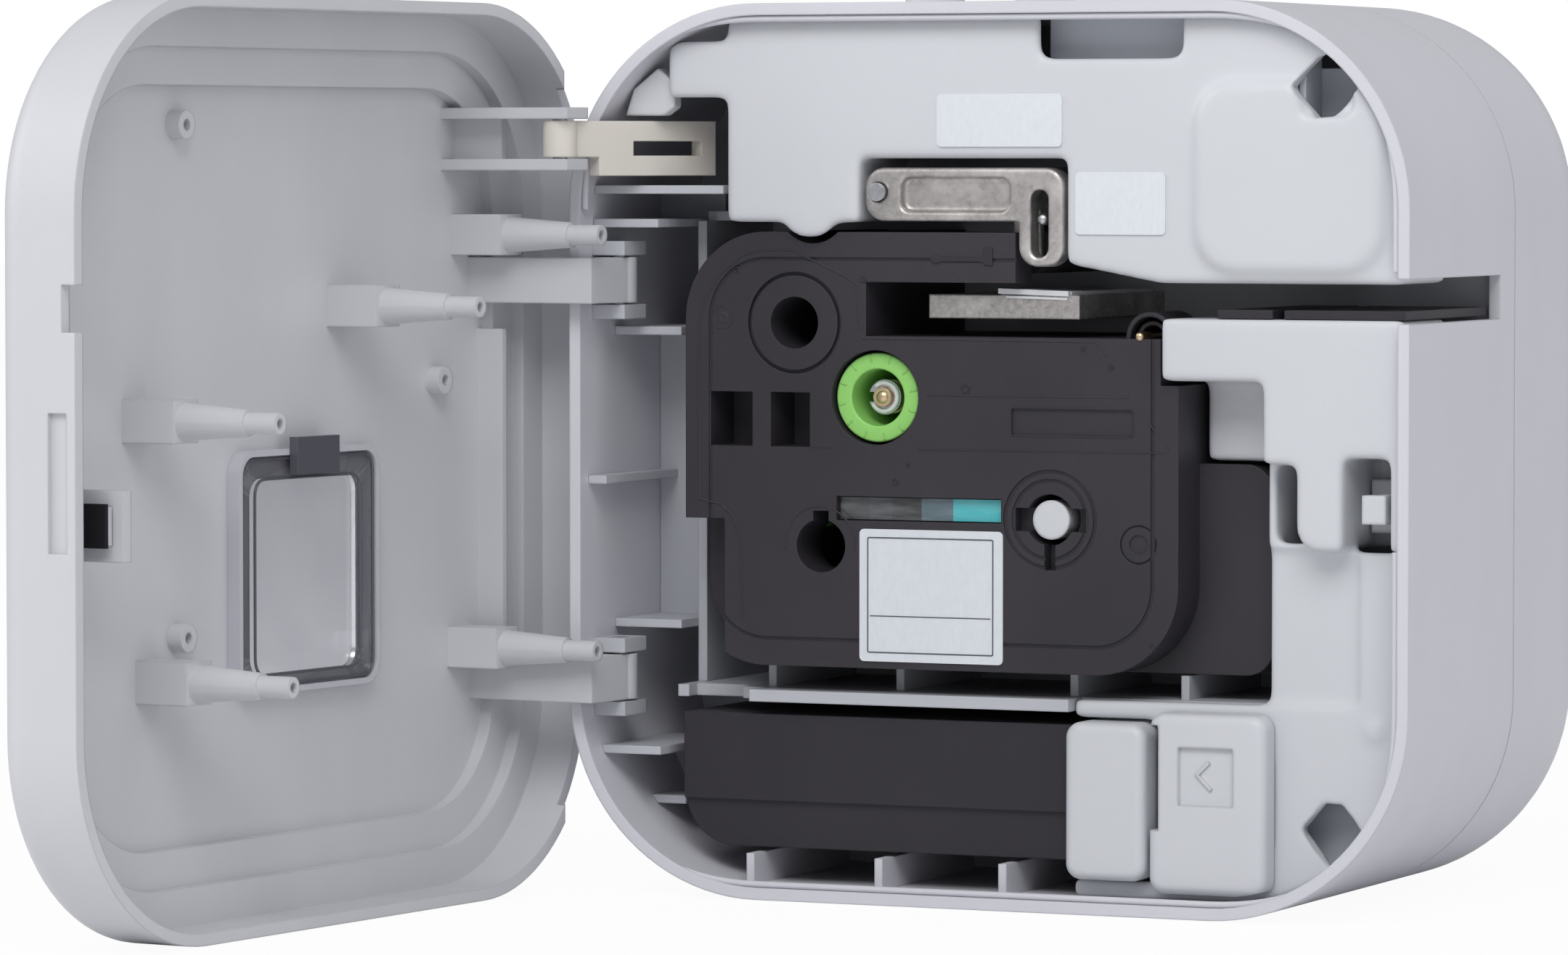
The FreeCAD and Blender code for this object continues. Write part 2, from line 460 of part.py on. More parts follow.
def housing_top():
    """The white upper housing: hollow, cut out for the lever, with a tab, a lug and a soft raised pad."""
    deep = ("housing_front", HOUSING_BACK)
    behind_skin = ("housing_front + housing_skin", HOUSING_BACK + " + 1")
    left = block(("top_block_left", "lever_gap_left"), deep, ("top_block_bottom", "body_height"))
    middle = block(("lever_gap_left", "lever_gap_right"), deep, ("lever_gap_top", "body_height"))
    right = less(block(("lever_gap_right", RIGHT), deep, ("right_block_bottom", "body_height")),
                 sloping_cut(("housing_front - 1", HOUSING_BACK + " + 1")))
    lug = rod("y", ("lug_across", "lug_up"), "lug_radius",
              ("housing_front", "housing_front + housing_skin"))
    lug_ring = less(rod("y", ("lug_across", "lug_up"), "0.8 * lug_radius",
                        ("0", "housing_front + ring_depth / 2")),
                    rod("y", ("lug_across", "lug_up"), "0.7 * lug_radius",
                        ("0", "housing_front + ring_depth")))
    tab = block(("tab_left", "top_block_left"), ("housing_front", "housing_front + tab_plate"),
                ("tab_bottom", "tab_top"))
    cavity = [block(("top_block_left + housing_skin", "lever_gap_left - housing_skin"), behind_skin,
                    ("top_block_bottom + housing_skin", "body_height + 1")),
              block(("lever_gap_left - 2 * housing_skin", "lever_gap_right + 2 * housing_skin"),
                    behind_skin,
                    ("lever_gap_top + housing_skin", "body_height + 1")),
              block(("lever_gap_right + housing_skin", RIGHT + " - 3 * housing_skin"), behind_skin,
                    ("slope_top + housing_skin", "body_height + 1"))]
    blade_way = block(("blade_across - blade_clearance",
                       "blade_across + blade_thickness + blade_clearance"),
                      ("blade_front - blade_clearance", HOUSING_BACK + " + 1"),
                      ("right_block_bottom - 1", "slope_top + 2 * housing_skin"))
    recess = pillow(("top_recess_left", "top_recess_right"),
                    ("housing_front - 3", "housing_front + top_recess_depth"),
                    ("top_recess_bottom", "body_height + 5"), "step_round")
    shape = within(join(left, middle, right, lug, tab), inner_space(deep, "housing_gap"))
    raised = within(pillow(("raised_left", "raised_right"),
                           ("housing_front - raised_height", "housing_front + 0.5"),
                           ("raised_bottom",
                            "raised_top"), "raised_corner", front_round="raised_height - 0.1"),
                    inner_space(("0", HOUSING_BACK), "housing_gap"))
    place_in_body("housing_top", less(join(shape, raised), *cavity, blade_way, recess, lug_ring,
                                      corner_hole("upper_hole_bottom", "upper_hole_top")))


def housing_side():
    """The white lower-right housing: steps round the tape's way, and the set-back corner panel."""
    deep = ("housing_front", HOUSING_BACK)
    panel = ("panel_front", "panel_front + panel_thickness")
    steps = [block(("side_block_left", RIGHT), deep, ("side_block_bottom", "slot_bottom")),
             block(("second_step_left", RIGHT), deep, ("second_step_bottom", "side_block_bottom")),
             block(("inner_step_left", "second_step_left + 1"), ("inner_step_front", HOUSING_BACK),
                   ("second_step_bottom", "side_block_bottom")),
             pillow(("third_step_left", RIGHT + " + 9"), deep,
                    ("third_step_bottom", "second_step_bottom + 9"), "2.5 * step_round"),
             block(("bay_right", RIGHT), panel, ("shelf_top", "third_step_bottom + 1")),
             block(("bay_right", "bay_right + bay_wall"), ("panel_front", HOUSING_BACK),
                   ("shelf_top", "second_step_bottom + 1")),
             block(("panel_left", RIGHT), panel, ("0", "shelf_top")),
             block(("bay_right", RIGHT), panel, ("shelf_top - 1", "shelf_top + 1")),
             rod("y", ("panel_boss_across", "panel_boss_up"), "panel_boss_radius",
                 ("panel_front - ring_depth", "panel_front + 1"))]
    reach = "latch_gap + latch_travel"
    tools = [
        block(("recess_left", "recess_right"), ("housing_front - 1", "housing_front + recess_depth"),
              ("recess_bottom", "recess_top")),
        block(("blade_across - blade_clearance", "blade_across + blade_thickness + blade_clearance"),
              ("blade_front - blade_clearance", HOUSING_BACK + " + 1"),
              ("slot_bottom - blade_travel", "slot_bottom + 1")),
        pillow(("bay_right - 9", "panel_recess_right"),
               ("panel_front - 1", "panel_front + panel_recess_depth"),
               ("shelf_top", "third_step_bottom"), "step_round"),
        block(("retainer_left - latch_gap", "retainer_right + latch_gap"), ("0", HOUSING_BACK),
              ("retainer_bottom - latch_gap", "retainer_top + latch_gap")),
        block(("latch_left + latch_corner", "latch_right - 2 * latch_corner + " + reach),
              ("0", HOUSING_BACK),
              ("latch_bottom + 3 * latch_corner - latch_gap",
               "latch_top - 3 * latch_corner + latch_gap")),
        corner_hole("lower_hole_bottom", "lower_hole_top")]
    place_in_body("housing_side", less(within(join(*steps), inner_space(deep, "housing_gap")), *tools))


def blank_stickers():
    """Two blank stickers on the upper housing."""
    on_face = ("housing_front - paper", "housing_front")
    place_in_body("sticker_pale",
                  pillow(("pale_left", "pale_right"), on_face, ("pale_bottom", "pale_top"),
                                         "step_round / 2"))
    place_in_body("sticker_header", pillow(("header_left", "header_right"), on_face,
                                           ("header_bottom", "header_top"), "step_round / 2"))


def exit_guides():
    """Black guide plates above and below the tape's way out, parted where the blade passes."""
    gaps = ("blade_across - blade_clearance", "blade_across + blade_thickness + blade_clearance")
    spans = [("guide_left", gaps[0]), (gaps[1], INNER_RIGHT + " - guide_gap")]
    lower = [block(span, ("guide_front", "guide_back"),
                   ("slot_bottom + 0.05", "slot_bottom + guide_plate"))
             for span in spans]
    place_in_body("exit_guides", *lower)


def cutter_blade():
    """The steel blade that drops across the tape's way out."""
    place_in_body("cutter_blade", block(("blade_across", "blade_across + blade_thickness"),
                                        ("blade_front", "blade_back"),
                                        ("blade_bottom", "blade_bottom + blade_height")))


# ---------------------------------------------------------------- cassette bay
def cassette_bay():
    """The bulkhead behind the cassette and battery, with the bay's walls and the shafts' bearings."""
    wall = ("bay_wall_front", BAY_BEHIND)
    plate = inner_space(("bay_back", BAY_BEHIND), "housing_gap")
    left = block(("bay_left - bay_wall", "bay_left"), wall, ("shelf_top", "top_block_bottom"))
    top = block(("bay_left - bay_wall", "lever_gap_left - 2"), (HOUSING_BACK, BAY_BEHIND),
                ("top_block_bottom", "top_block_bottom + bay_wall"))
    right = block(("bay_right", "bay_right + bay_wall"), (HOUSING_BACK, BAY_BEHIND),
                  ("shelf_top", "second_step_bottom"))
    lever_post = rod("y", ("lever_pivot_across", "lever_pivot_up"), "2 * lever_pin_radius",
                     ("lever_front + lever_thickness + holder_gap", "bay_back + 1"))
    spindle_post = rod("y", ("spindle_across", "spindle_up"), "spindle_radius",
                       ("cassette_front + spindle_length + 0.5", "bay_back + 1"))
    supports = [block(("slope_right + 4", "slope_right + 6"), (HOUSING_BACK, "bay_back + 1"),
                      ("slope_top + 4", "slope_top + 16")),
                block(("third_step_left + 3", "third_step_left + 5"), (HOUSING_BACK, "bay_back + 1"),
                      ("second_step_bottom + 3", "slot_bottom - 9"))]
    bearing = rod("y", ("spool_across", "spool_up"), "shaft_radius + bearing_clearance",
                  ("bay_back - 1", BAY_BEHIND + " + 1"))
    pinion_hole = rod("y", (PINION_X, "spool_up"), "motor_shaft_radius + bearing_clearance",
                      ("bay_back - 1", BAY_BEHIND + " + 1"))
    place_in_body("cassette_bay",
                  less(join(plate, left, top, right, lever_post, spindle_post, *supports), bearing,
                       pinion_hole))


def bay_shelf():
    """The shelf between the cassette and the battery."""
    shelf = block(("bay_left - bay_wall", "bay_right"), ("shelf_front", "bay_back"),
                  ("shelf_bottom", "shelf_top"))
    lip = block(("lip_left", "panel_left"), ("lip_front", "shelf_front"), ("shelf_bottom", "shelf_top"))
    ribs = [block((at, at + " + door_rib"), ("shelf_front + 2", "bay_back"),
                  ("shelf_top", "cassette_bottom - bay_floor_clearance"))
            for at in ("lip_left", "spool_across", "spindle_across", "slope_right")]
    place_in_body("bay_shelf", less(join(shelf, lip, *ribs),
                                    block(("hinge_post_across - 5", "hinge_post_across + 5"),
                                          ("shelf_front - 1", "post_tip + 1"), ("0", "60"))))


def hinge_side_frame():
    """The plate and thin shelves between the shell's hinge side and the cassette bay."""
    wall = INNER_LEFT + " - 1"
    depth = ("frame_rib_front", "frame_behind + 1")
    pieces = [
        block((wall, "bay_left - bay_wall"), ("frame_behind", "frame_behind + frame_plate"),
              ("frame_low", "frame_high")),
        block((wall, "bay_left - bay_wall"), ("bracket_back + bracket_gap", "frame_behind + 1"),
              ("frame_low", "frame_low + frame_plate")),
        block((wall, "bay_left - bay_wall"), ("bracket_back + bracket_gap", "frame_behind + 1"),
              ("frame_high - frame_plate", "frame_high")),
        block((wall, INNER_LEFT + " + frame_rib_reach"), depth,
              ("frame_rib_up", "frame_rib_up + frame_plate"))]
    upper = [
        block((wall, "bay_left - bay_wall"), ("frame_behind", "frame_behind + frame_plate"),
              ("post_shelf_up", "link_shelf_up + frame_plate")),
        block((wall, "link_shelf_right"), ("side_shelf_front", "frame_behind + 1"),
              ("link_shelf_up", "link_shelf_up + frame_plate")),
        block((wall, "post_shelf_right"), ("side_shelf_front", "frame_behind + 1"),
              ("post_shelf_up", "post_shelf_up + frame_plate"))]
    lower = [
        block((wall, "bay_left - bay_wall"), ("frame_behind", "frame_behind + frame_plate"),
              ("side_rib_up", "side_shelf_up + frame_plate")),
        block((wall, "bay_left - bay_wall"), ("side_shelf_front", "frame_behind + 1"),
              ("side_shelf_up", "side_shelf_up + frame_plate")),
        block((wall, "bay_left - bay_wall"), ("3 * side_shelf_front", "frame_behind + 1"),
              ("side_rib_up", "side_rib_up + frame_plate"))]
    inside = inner_space(("0", "bay_back"), "housing_gap")
    place_in_body("hinge_side_frame",
                  *[within(join(*group), inside) for group in (pieces, upper, lower)])


# ---------------------------------------------------------------- cassette
def cassette_outline(left, right, behind, up):
    """The cassette's rounded outline, clear of the housing's lug, the lever's lobe and the side block."""
    outline = pillow((left, right), behind, up, "cassette_round")
    return less(outline,
                block((left + " - 1", "notch_right"), ("0", "flange_front"), ("0", "notch_top")),
                rod("y", ("lug_across", "lug_up"), "lug_radius + 0.8", ("0", "cassette_back + 1")),
                block(("arm_right", "body_width"), ("0", "cassette_back + 1"),
                      ("arm_top_right", "body_height")),
                block(("shoulder_right", "body_width"), ("0", "cassette_back + 1"),
                      ("shoulder_bottom", "body_height")))


def cassette_pass(radius_extra="spool_clearance"):
    """The way for the take-up spool through the case."""
    return rod("y", ("spool_across", "spool_up"), "spool_radius + " + radius_extra,
               ("cassette_front - 1", "cassette_front + spool_length + 2"))


def face_marks(across, up, outer, inner, depth):
    """A ring sunk in the cassette's face."""
    return less(rod("y", (across, up), outer, ("cassette_front - 1", "cassette_front + " + depth)),
                rod("y", (across, up), inner, ("cassette_front - 1", "cassette_front + 1 + " + depth)))


def border_line():
    """The line that follows the cassette's edge."""
    def ring(inset):
        sides = ("cassette_left + " + inset, "cassette_right - " + inset)
        return pillow(sides, ("cassette_front - 1", "cassette_front + border_depth"),
                      ("cassette_bottom + " + inset,
                       "cassette_top - " + inset), "cassette_round - " + inset)
    return less(ring("border_inset"), ring("(border_inset + border_width)"))


def cassette_cover():
    """The front half of the cassette, with its windows, keyhole, ring marks and blank plate."""
    front = ("cassette_front - 1", "flange_front + 1")
    skin = ("cassette_front - 1", "cassette_front + cover_wall")
    cross = ("cassette_front - 1", "cassette_front + cross_depth")
    solid = cassette_outline("cassette_left", "cassette_right", ("cassette_front", "flange_front"),
                             ("cassette_bottom", "cassette_top"))
    tools = [
        border_line(),
        block(("head_slot_left", "body_width"), front, ("head_slot_bottom", "head_slot_top")),
        block(("head_slot_left", "body_width"), ("arm_back", "flange_front + 1"),
              ("head_slot_bottom", "body_height")),
        rod("y", ("guide_hole_across", "guide_hole_up"), "guide_hole_radius", front),
        face_marks("guide_hole_across", "guide_hole_up", "ring_radius",
                   "ring_radius - border_width", "ring_depth"),
        block(("first_hole_left", "first_hole_right"), front, ("window_hole_bottom", "window_hole_top")),
        block(("second_hole_left", "second_hole_right"), front,
              ("window_hole_bottom", "window_hole_top")),
        rod("y", ("keyhole_across", "keyhole_up"), "keyhole_radius", front),
        block(("keyhole_across - keyhole_slot / 2", "keyhole_across + keyhole_slot / 2"), front,
              ("keyhole_up", "keyhole_up + keyhole_radius + keyhole_slot / 2")),
        block(("ribbon_slot_left", "ribbon_slot_right"), skin,
              ("ribbon_slot_bottom", "ribbon_slot_top")),
        block(("plate_left", "plate_right"), ("cassette_front - 1", "cassette_front + plate_depth"),
              ("plate_bottom", "plate_top")),
        face_marks("spindle_across", "spindle_up", "spindle_ring_radius",
                   "spindle_ring_radius - border_width",
                   "border_depth"),
        face_marks("spindle_across", "spindle_up", "0.82 * spindle_ring_radius",
                   "0.82 * spindle_ring_radius - border_width", "border_depth"),
        block(("spindle_across - cross_reach", "spindle_across + cross_reach"), cross,
              ("spindle_up - cross_width / 2", "spindle_up + cross_width / 2")),
        block(("spindle_across - cross_width / 4", "spindle_across + cross_width / 4"), cross,
              ("spindle_up - spindle_ring_radius", "spindle_up")),
        face_marks("roll_across", "roll_up", "mark_radius", "mark_radius - border_width / 2",
                   "border_depth"),
        rod("y", ("roll_across", "roll_up"), "mark_radius / 2",
            ("cassette_front - 1", "cassette_front + border_depth")),
        rod("y", ("spindle_across", "spindle_up"), "spindle_radius + 1", front),
        cassette_pass()]
    place_in_body("cassette_cover", less(solid, *tools))


def cassette_case():
    """The rear half of the cassette: a flanged case, hollow round its rolls."""
    deep = ("flange_front", "cassette_back")
    far = ("0", "cassette_back + 1")
    solid = cassette_outline("cassette_left", "cassette_right", deep,
                             ("cassette_bottom", "cassette_top"))
    flange = pillow(("spindle_across", "flange_right"), deep, ("cassette_bottom", "flange_top"),
                    "3 * step_round")
    hollow = [block(("keyhole_across - 5", "keyhole_across + 5"),
                    ("flange_front - 1", "cassette_back - cover_wall"),
                    ("keyhole_up - 5", "keyhole_up + 5")),
              rod("y", ("roll_across", "roll_up"), "roll_radius + spool_clearance",
                  ("flange_front + cover_wall", "cassette_back - cover_wall")),
              rod("y", ("ribbon_spool_across", "ribbon_spool_up"),
                  "ribbon_spool_radius + spool_clearance",
                  ("flange_front - 1", "cassette_back - cover_wall"))]
    tools = [
        block(("head_slot_left", "body_width"), far, ("head_slot_bottom", "body_height")),
        rod("y", ("guide_hole_across", "guide_hole_up"), "guide_hole_radius", far),
        rod("y", ("spindle_across", "spindle_up"), "spindle_radius + 1", far),
        rod("y", ("spool_across", "spool_up"), "shaft_collar_radius + 1", far),
        cassette_pass()]
    place_in_body("cassette_case", less(join(solid, flange), *hollow, *tools))


def cassette_rolls():
    """The green take-up spool, the ribbon spool, the tape roll and the strip behind the window."""
    spool_span = ("spool_front", "spool_front + spool_length")
    turn = "%d * 360 / spool_notches"
    notches = [rod("y", (("spool_across + spool_radius * cos(" + turn + ")") % number,
                         ("spool_up + spool_radius * sin(" + turn + ")") % number),
                   "spool_notch", ("spool_front - 1", "spool_front + spool_notch_depth"))
               for number in range(int(size("spool_notches")))]
    spool = less(rod("y", ("spool_across", "spool_up"), "spool_radius", spool_span),
                 rod("y", ("spool_across", "spool_up"), "spool_bore",
                     ("spool_front - 1", "spool_front + spool_length + 1")),
                 *notches)
    place_in_body("take_up_spool", spool)
    ribbon_span = ("flange_front + 0.4", "cassette_back - cover_wall - 0.4")
    place_in_body("ribbon_spool", less(
        rod("y", ("ribbon_spool_across", "ribbon_spool_up"), "ribbon_spool_radius", ribbon_span),
        rod("y", ("ribbon_spool_across", "ribbon_spool_up"), "roll_bore", ("0", "body_depth"))))
    roll_span = ("flange_front + cover_wall + 0.3", "cassette_back - cover_wall - 0.3")
    place_in_body("tape_roll", less(
        rod("y", ("roll_across", "roll_up"), "roll_radius", roll_span),
        rod("y", ("roll_across", "roll_up"), "roll_bore", ("0", "body_depth"))))
    place_in_body("ribbon_strip", block(("ribbon_slot_left + 0.2", "ribbon_slot_right - 0.2"),
                                        ("cassette_front + cover_wall - paper",
                                         "cassette_front + cover_wall"),
                                        ("ribbon_slot_bottom + 0.2", "ribbon_slot_top - 0.2")))
    place_in_body("cassette_sticker", pillow(("sticker_left", "sticker_right"),
                                             ("cassette_front - paper", "cassette_front"),
                                             ("sticker_bottom", "sticker_top"), "step_round / 2"))


def spindle_cap():
    """The white cap on the bay's spindle, showing through the cassette."""
    place_in_body("spindle_cap", rod("y", ("spindle_across", "spindle_up"), "spindle_radius",
                                     ("cassette_front + 0.6", "cassette_front + spindle_length + 0.5")))


# ---------------------------------------------------------------- take-up drive
PINION_X = "(spool_across + gear_module * (drive_teeth + pinion_teeth) / 2 + mesh_gap)"
GEAR_FRONT = BAY_BEHIND + " + gear_gap"


def take_up_shaft():
    """The take-up shaft with its collar, and the open ring that keeps the collar on."""
    shaft = join(rod("y", ("spool_across", "spool_up"), "shaft_radius",
                     ("shaft_front", GEAR_FRONT + " + gear_width")),
                 rod("y", ("spool_across", "spool_up"), "shaft_collar_radius",
                     ("shaft_front + 4", "bay_back - 0.6")))
    place_in_body("take_up_shaft", shaft)
    ring_span = ("shaft_front + clip_ring_behind_tip",
                 "shaft_front + clip_ring_behind_tip + clip_ring_thickness")
    ring = less(rod("y", ("spool_across", "spool_up"), "clip_ring_radius", ring_span),
                rod("y", ("spool_across", "spool_up"), "shaft_radius",
                    ("shaft_front", "shaft_front + 4")),
                block(("spool_across - clip_ring_radius - 1", "spool_across"),
                      ("shaft_front", "shaft_front + 4"),
                      ("spool_up - shaft_radius / 2", "spool_up + shaft_radius / 2")))
    place_in_body("shaft_clip", ring)


def gear_shape(teeth, bore):
    """A spur gear about the Y axis with straight-sided teeth, one of them on +X, from Y = 0."""
    pitch = size("gear_module") * teeth / 2
    tip = pitch + size("addendum") * size("gear_module")
    root = pitch - size("dedendum") * size("gear_module")
    pitch_half = math.pi / teeth * size("tooth_share")
    corners = []
    for number in range(int(teeth)):
        middle = 2 * math.pi * number / teeth
        for radius, half in ((root, -1.6), (tip, -0.6), (tip, 0.6), (root, 1.6)):
            angle = middle + half * pitch_half
            corners.append(FreeCAD.Vector(radius * math.cos(angle), 0, radius * math.sin(angle)))
    corners.append(corners[0])
    wheel = Part.Face(Part.makePolygon(corners)).extrude(FreeCAD.Vector(0, size("gear_width"), 0))
    hole = Part.makeCylinder(bore, size("gear_width"), FreeCAD.Vector(), FreeCAD.Vector(0, 1, 0))
    return wheel.cut(hole)


def gear(name, teeth, bore, across, turn):
    """One gear at its place behind the bulkhead, turned about its own axis."""
    wheel = doc.addObject("Part::Feature", name + "_wheel")
    wheel.Shape = gear_shape(size(teeth), size(bore))
    wheel.Placement = FreeCAD.Placement(FreeCAD.Vector(),
                                        FreeCAD.Rotation(FreeCAD.Vector(0, 1, 0), turn))
    tie(wheel, Placement__Base__x=across, Placement__Base__z="spool_up", Placement__Base__y=GEAR_FRONT)
    place_in_body(name, wheel)


def motor():
    """The drive motor, its shaft through the pinion."""
    front = GEAR_FRONT + " + gear_width + motor_gap"
    can = join(rod("y", (PINION_X, "spool_up"), "motor_radius", (front, front + " + motor_length")),
               rod("y", (PINION_X, "spool_up"), "2.5 * motor_shaft_radius",
                   (front + " - motor_gap / 2", front + " + 1")))
    foot = block((PINION_X + " + motor_radius - 1", PINION_X + " + motor_radius + 3"),
                 (BAY_BEHIND, front + " + 8"),
                 ("spool_up - 5", "spool_up + 5"))
    place_in_body("motor", join(can, foot))
    place_in_body("pinion_shaft", rod("y", (PINION_X, "spool_up"), "motor_shaft_radius",
                                      ("bay_back + 0.4", front + " - motor_gap / 2 - 0.05")))


def drive():
    """Gears, shafts and motor of the take-up drive; the tooth of one gear faces a gap of the other."""
    take_up_shaft()
    gear("drive_gear", "drive_teeth", "shaft_radius", "spool_across", 0)
    gear("motor_pinion", "pinion_teeth", "motor_shaft_radius", PINION_X, 180.0 / size("pinion_teeth"))
    motor()


# ---------------------------------------------------------------- print head, lever and roller
def print_head():
    """The die-cast heat-sink bar and its ceramic strip."""
    place_in_body("print_head",
                  block(("head_left", "head_right"), ("head_front", "bay_back"),
                        ("head_bottom", "head_top")))
    place_in_body("thermal_strip", block(("strip_left", "strip_right"), ("strip_front", "bay_back - 1"),
                                         ("head_top", "head_top + strip_height")))


def platen_lever():
    """The die-cast release lever with its oblong slot, and the holder of the platen roller."""
    behind = ("lever_front", "lever_front + lever_thickness")
    bar = pillow(("lever_left", "lever_right"), behind, ("lever_bar_bottom", "lever_top"),
                 "lever_corner",
                 front_round="lever_edge")
    lobe = pillow(("lobe_left", "lever_right"), behind, ("lobe_bottom", "lever_top"), "lever_corner",
                  front_round="lever_edge")
    hollow = pillow(("lever_left + 4 * lever_rim", "lobe_left - lever_rim"),
                    ("lever_front - 1", "lever_front + lever_hollow_depth"),
                    ("lever_bar_bottom + lever_rim",
                     "lever_top - lever_rim"), "lever_corner - lever_rim")
    slot = pillow(("lever_slot_left", "lever_slot_right"), ("0", "lever_front + lever_thickness + 1"),
                  ("lever_slot_bottom",
                   "lever_slot_top"), "(lever_slot_right - lever_slot_left) / 2 - 0.05")
    pivot = rod("y", ("lever_pivot_across", "lever_pivot_up"), "lever_pin_radius + lever_clearance",
                ("0", "20"))
    holder_width = ("roller_across - holder_half_width", "roller_across + holder_half_width")
    cheek_up = ("roller_up - holder_half_width", "lever_top")
    front_cheek = block(holder_width,
                        ("lever_front + lever_thickness",
                         "lever_front + lever_thickness + holder_plate"),
                        ("lever_bar_bottom", "lever_top"))
    arm = block(holder_width,
                ("lever_front + lever_thickness", "roller_back + holder_gap + holder_plate"),
                ("lever_bar_bottom + 2", "lever_top"))
    cheeks = [block(holder_width, (near, near + " + holder_plate"), cheek_up)
              for near in ("roller_front - holder_gap - holder_plate", "roller_back + holder_gap")]
    bores = rod("y", ("roller_across", "roller_up"), "roller_shaft_radius + lever_clearance",
                ("roller_front - 5", "roller_back + 5"))
    place_in_body("platen_lever",
                  less(join(bar, lobe, front_cheek, arm, *cheeks), hollow, slot, pivot, bores))
    place_in_body("lever_pin", rod("y", ("lever_pivot_across", "lever_pivot_up"), "lever_pin_radius",
                                   ("lever_front - 0.8", "lever_front + lever_thickness + holder_gap")))


def platen_roller():
    """The rubber roller on its steel shaft."""
    place_in_body("platen_roller", less(
        rod("y", ("roller_across", "roller_up"), "roller_radius", ("roller_front", "roller_back")),
        rod("y", ("roller_across", "roller_up"), "roller_shaft_radius", ("0", "60"))))
    place_in_body("roller_shaft", rod("y", ("roller_across", "roller_up"), "roller_shaft_radius",
                                      ("roller_front - holder_gap - holder_plate",
                                       "roller_back + holder_gap + holder_plate")))


# ---------------------------------------------------------------- battery and power
def battery_parts():
    """The battery, its contacts, the block beside it and the sliding latch."""
    long = ("battery_front", "battery_back")
    case = join(pillow(("battery_left", "battery_right"), long, ("battery_bottom", "battery_top"),
                       "battery_round"),
                block(("battery_left", "battery_right"), long,
                      ("(battery_bottom + battery_top) / 2", "battery_top")),
                block(("battery_right - 2 * battery_round", "battery_right"), long,
                      ("battery_bottom", "battery_top")))
    place_in_body("battery", less(case, block(("battery_left - 1", "battery_right + 1"),
                                              ("0", "battery_front + battery_setback"),
                                              ("0", "battery_step"))))
    contacts = [block((across, across + " + contact_width"), ("battery_back + 0.3", "bay_back"),
                      ("battery_bottom + 5", "battery_top - 5"))
                for across in ("battery_left + 14", "battery_left + 22", "battery_left + 30")]
    place_in_body("battery_contacts", *contacts)
    place_in_body("battery_block",
                  pillow(("retainer_left", "retainer_right"), ("retainer_front", "bay_back"),
                                          ("retainer_bottom", "retainer_top"), "latch_corner",
                                          front_round="latch_edge"))


def battery_latch():
    """The sliding latch: a soft block over the panel, with a sunk square that bears a plain arrowhead."""
    front = ("latch_front - 1", "latch_front + latch_square_depth")
    plate = pillow(("latch_left", "latch_right"), ("latch_front", "panel_front - latch_gap"),
                   ("latch_bottom", "latch_top"), "latch_corner", front_round="latch_edge")
    square = block(("latch_square_left", "latch_square_left + latch_square"), front,
                   ("latch_square_bottom", "latch_square_bottom + latch_square"))
    notch = block(("latch_left - 1", "latch_left + latch_notch"), ("0", "panel_front"),
                  ("latch_notch_bottom", "latch_notch_top"))
    stem = block(("latch_left + latch_corner + latch_gap", "latch_right - 2 * latch_corner"),
                 ("latch_front + 2 * latch_edge", "bay_back - latch_gap"),
                 ("latch_bottom + 3 * latch_corner", "latch_top - 3 * latch_corner"))
    arms = []
    for side in (1, -1):
        arm = block(("0", "chevron"), ("0", "latch_square_depth"), ("0", "chevron_width"))
        turn = FreeCAD.Rotation(ALONG["y"], -45 * side)
        arm.Placement = FreeCAD.Placement(FreeCAD.Vector(), turn)
        tie(arm, Placement__Base__x="latch_square_left + (latch_square - chevron) / 2",
            Placement__Base__y="latch_front + latch_square_depth / 2",
            Placement__Base__z="latch_square_bottom + latch_square / 2")
        arms.append(arm)
    shape = within(join(plate, stem), inner_space(("0", "bay_back"), "1.5"))
    place_in_body("battery_latch", join(less(shape, square, notch), *arms))


def power_parts():
    """The power inlet, the data socket and the control board."""
    inlet = less(block(("inlet_across - inlet_width / 2", "inlet_across + inlet_width / 2"),
                       ("body_depth - inlet_depth", "body_depth - 0.5"),
                       ("inlet_up - inlet_height / 2", "inlet_up + inlet_height / 2")),
                 rod("y", ("inlet_across", "inlet_up"), "inlet_bore",
                     ("body_depth - inlet_depth + 2", "body_depth + 1")))
    pin = rod("y", ("inlet_across", "inlet_up"), "inlet_bore / 4",
              ("body_depth - inlet_depth + 1", "body_depth - 3"))
    place_in_body("power_inlet", join(inlet, pin))
    place_in_body("data_socket", less(
        block(("usb_across - usb_width / 2", "usb_across + usb_width / 2"),
              ("body_depth - usb_depth", "body_depth - 0.5"),
              ("inlet_up - usb_height / 2", "inlet_up + usb_height / 2")),
        block(("usb_across - usb_width / 2 + socket_wall", "usb_across + usb_width / 2 - socket_wall"),
              ("body_depth - usb_depth + socket_wall", "body_depth"),
              ("inlet_up - usb_height / 2 + socket_wall", "inlet_up + usb_height / 2 - socket_wall"))))
    low_board = block(("-screw_across / 2", "inlet_across + inlet_width"),
                      ("body_depth - rear_round", "body_depth - rear_round + board_thickness"),
                      ("inlet_up - inlet_height / 2 - board_thickness", "screw_up"))
    shelf = block(("-screw_across / 2", "inlet_across + inlet_width"),
                  ("body_depth - rear_round", "body_depth - shell_wall - 4"),
                  ("inlet_up - inlet_height / 2 - board_thickness", "inlet_up - inlet_height / 2"))
    standoff = rod("y", ("usb_across - 14", "inlet_up + 4"), "2.2",
                   (BAY_BEHIND, "body_depth - rear_round"))
    place_in_body("control_board", join(shelf, low_board, standoff))


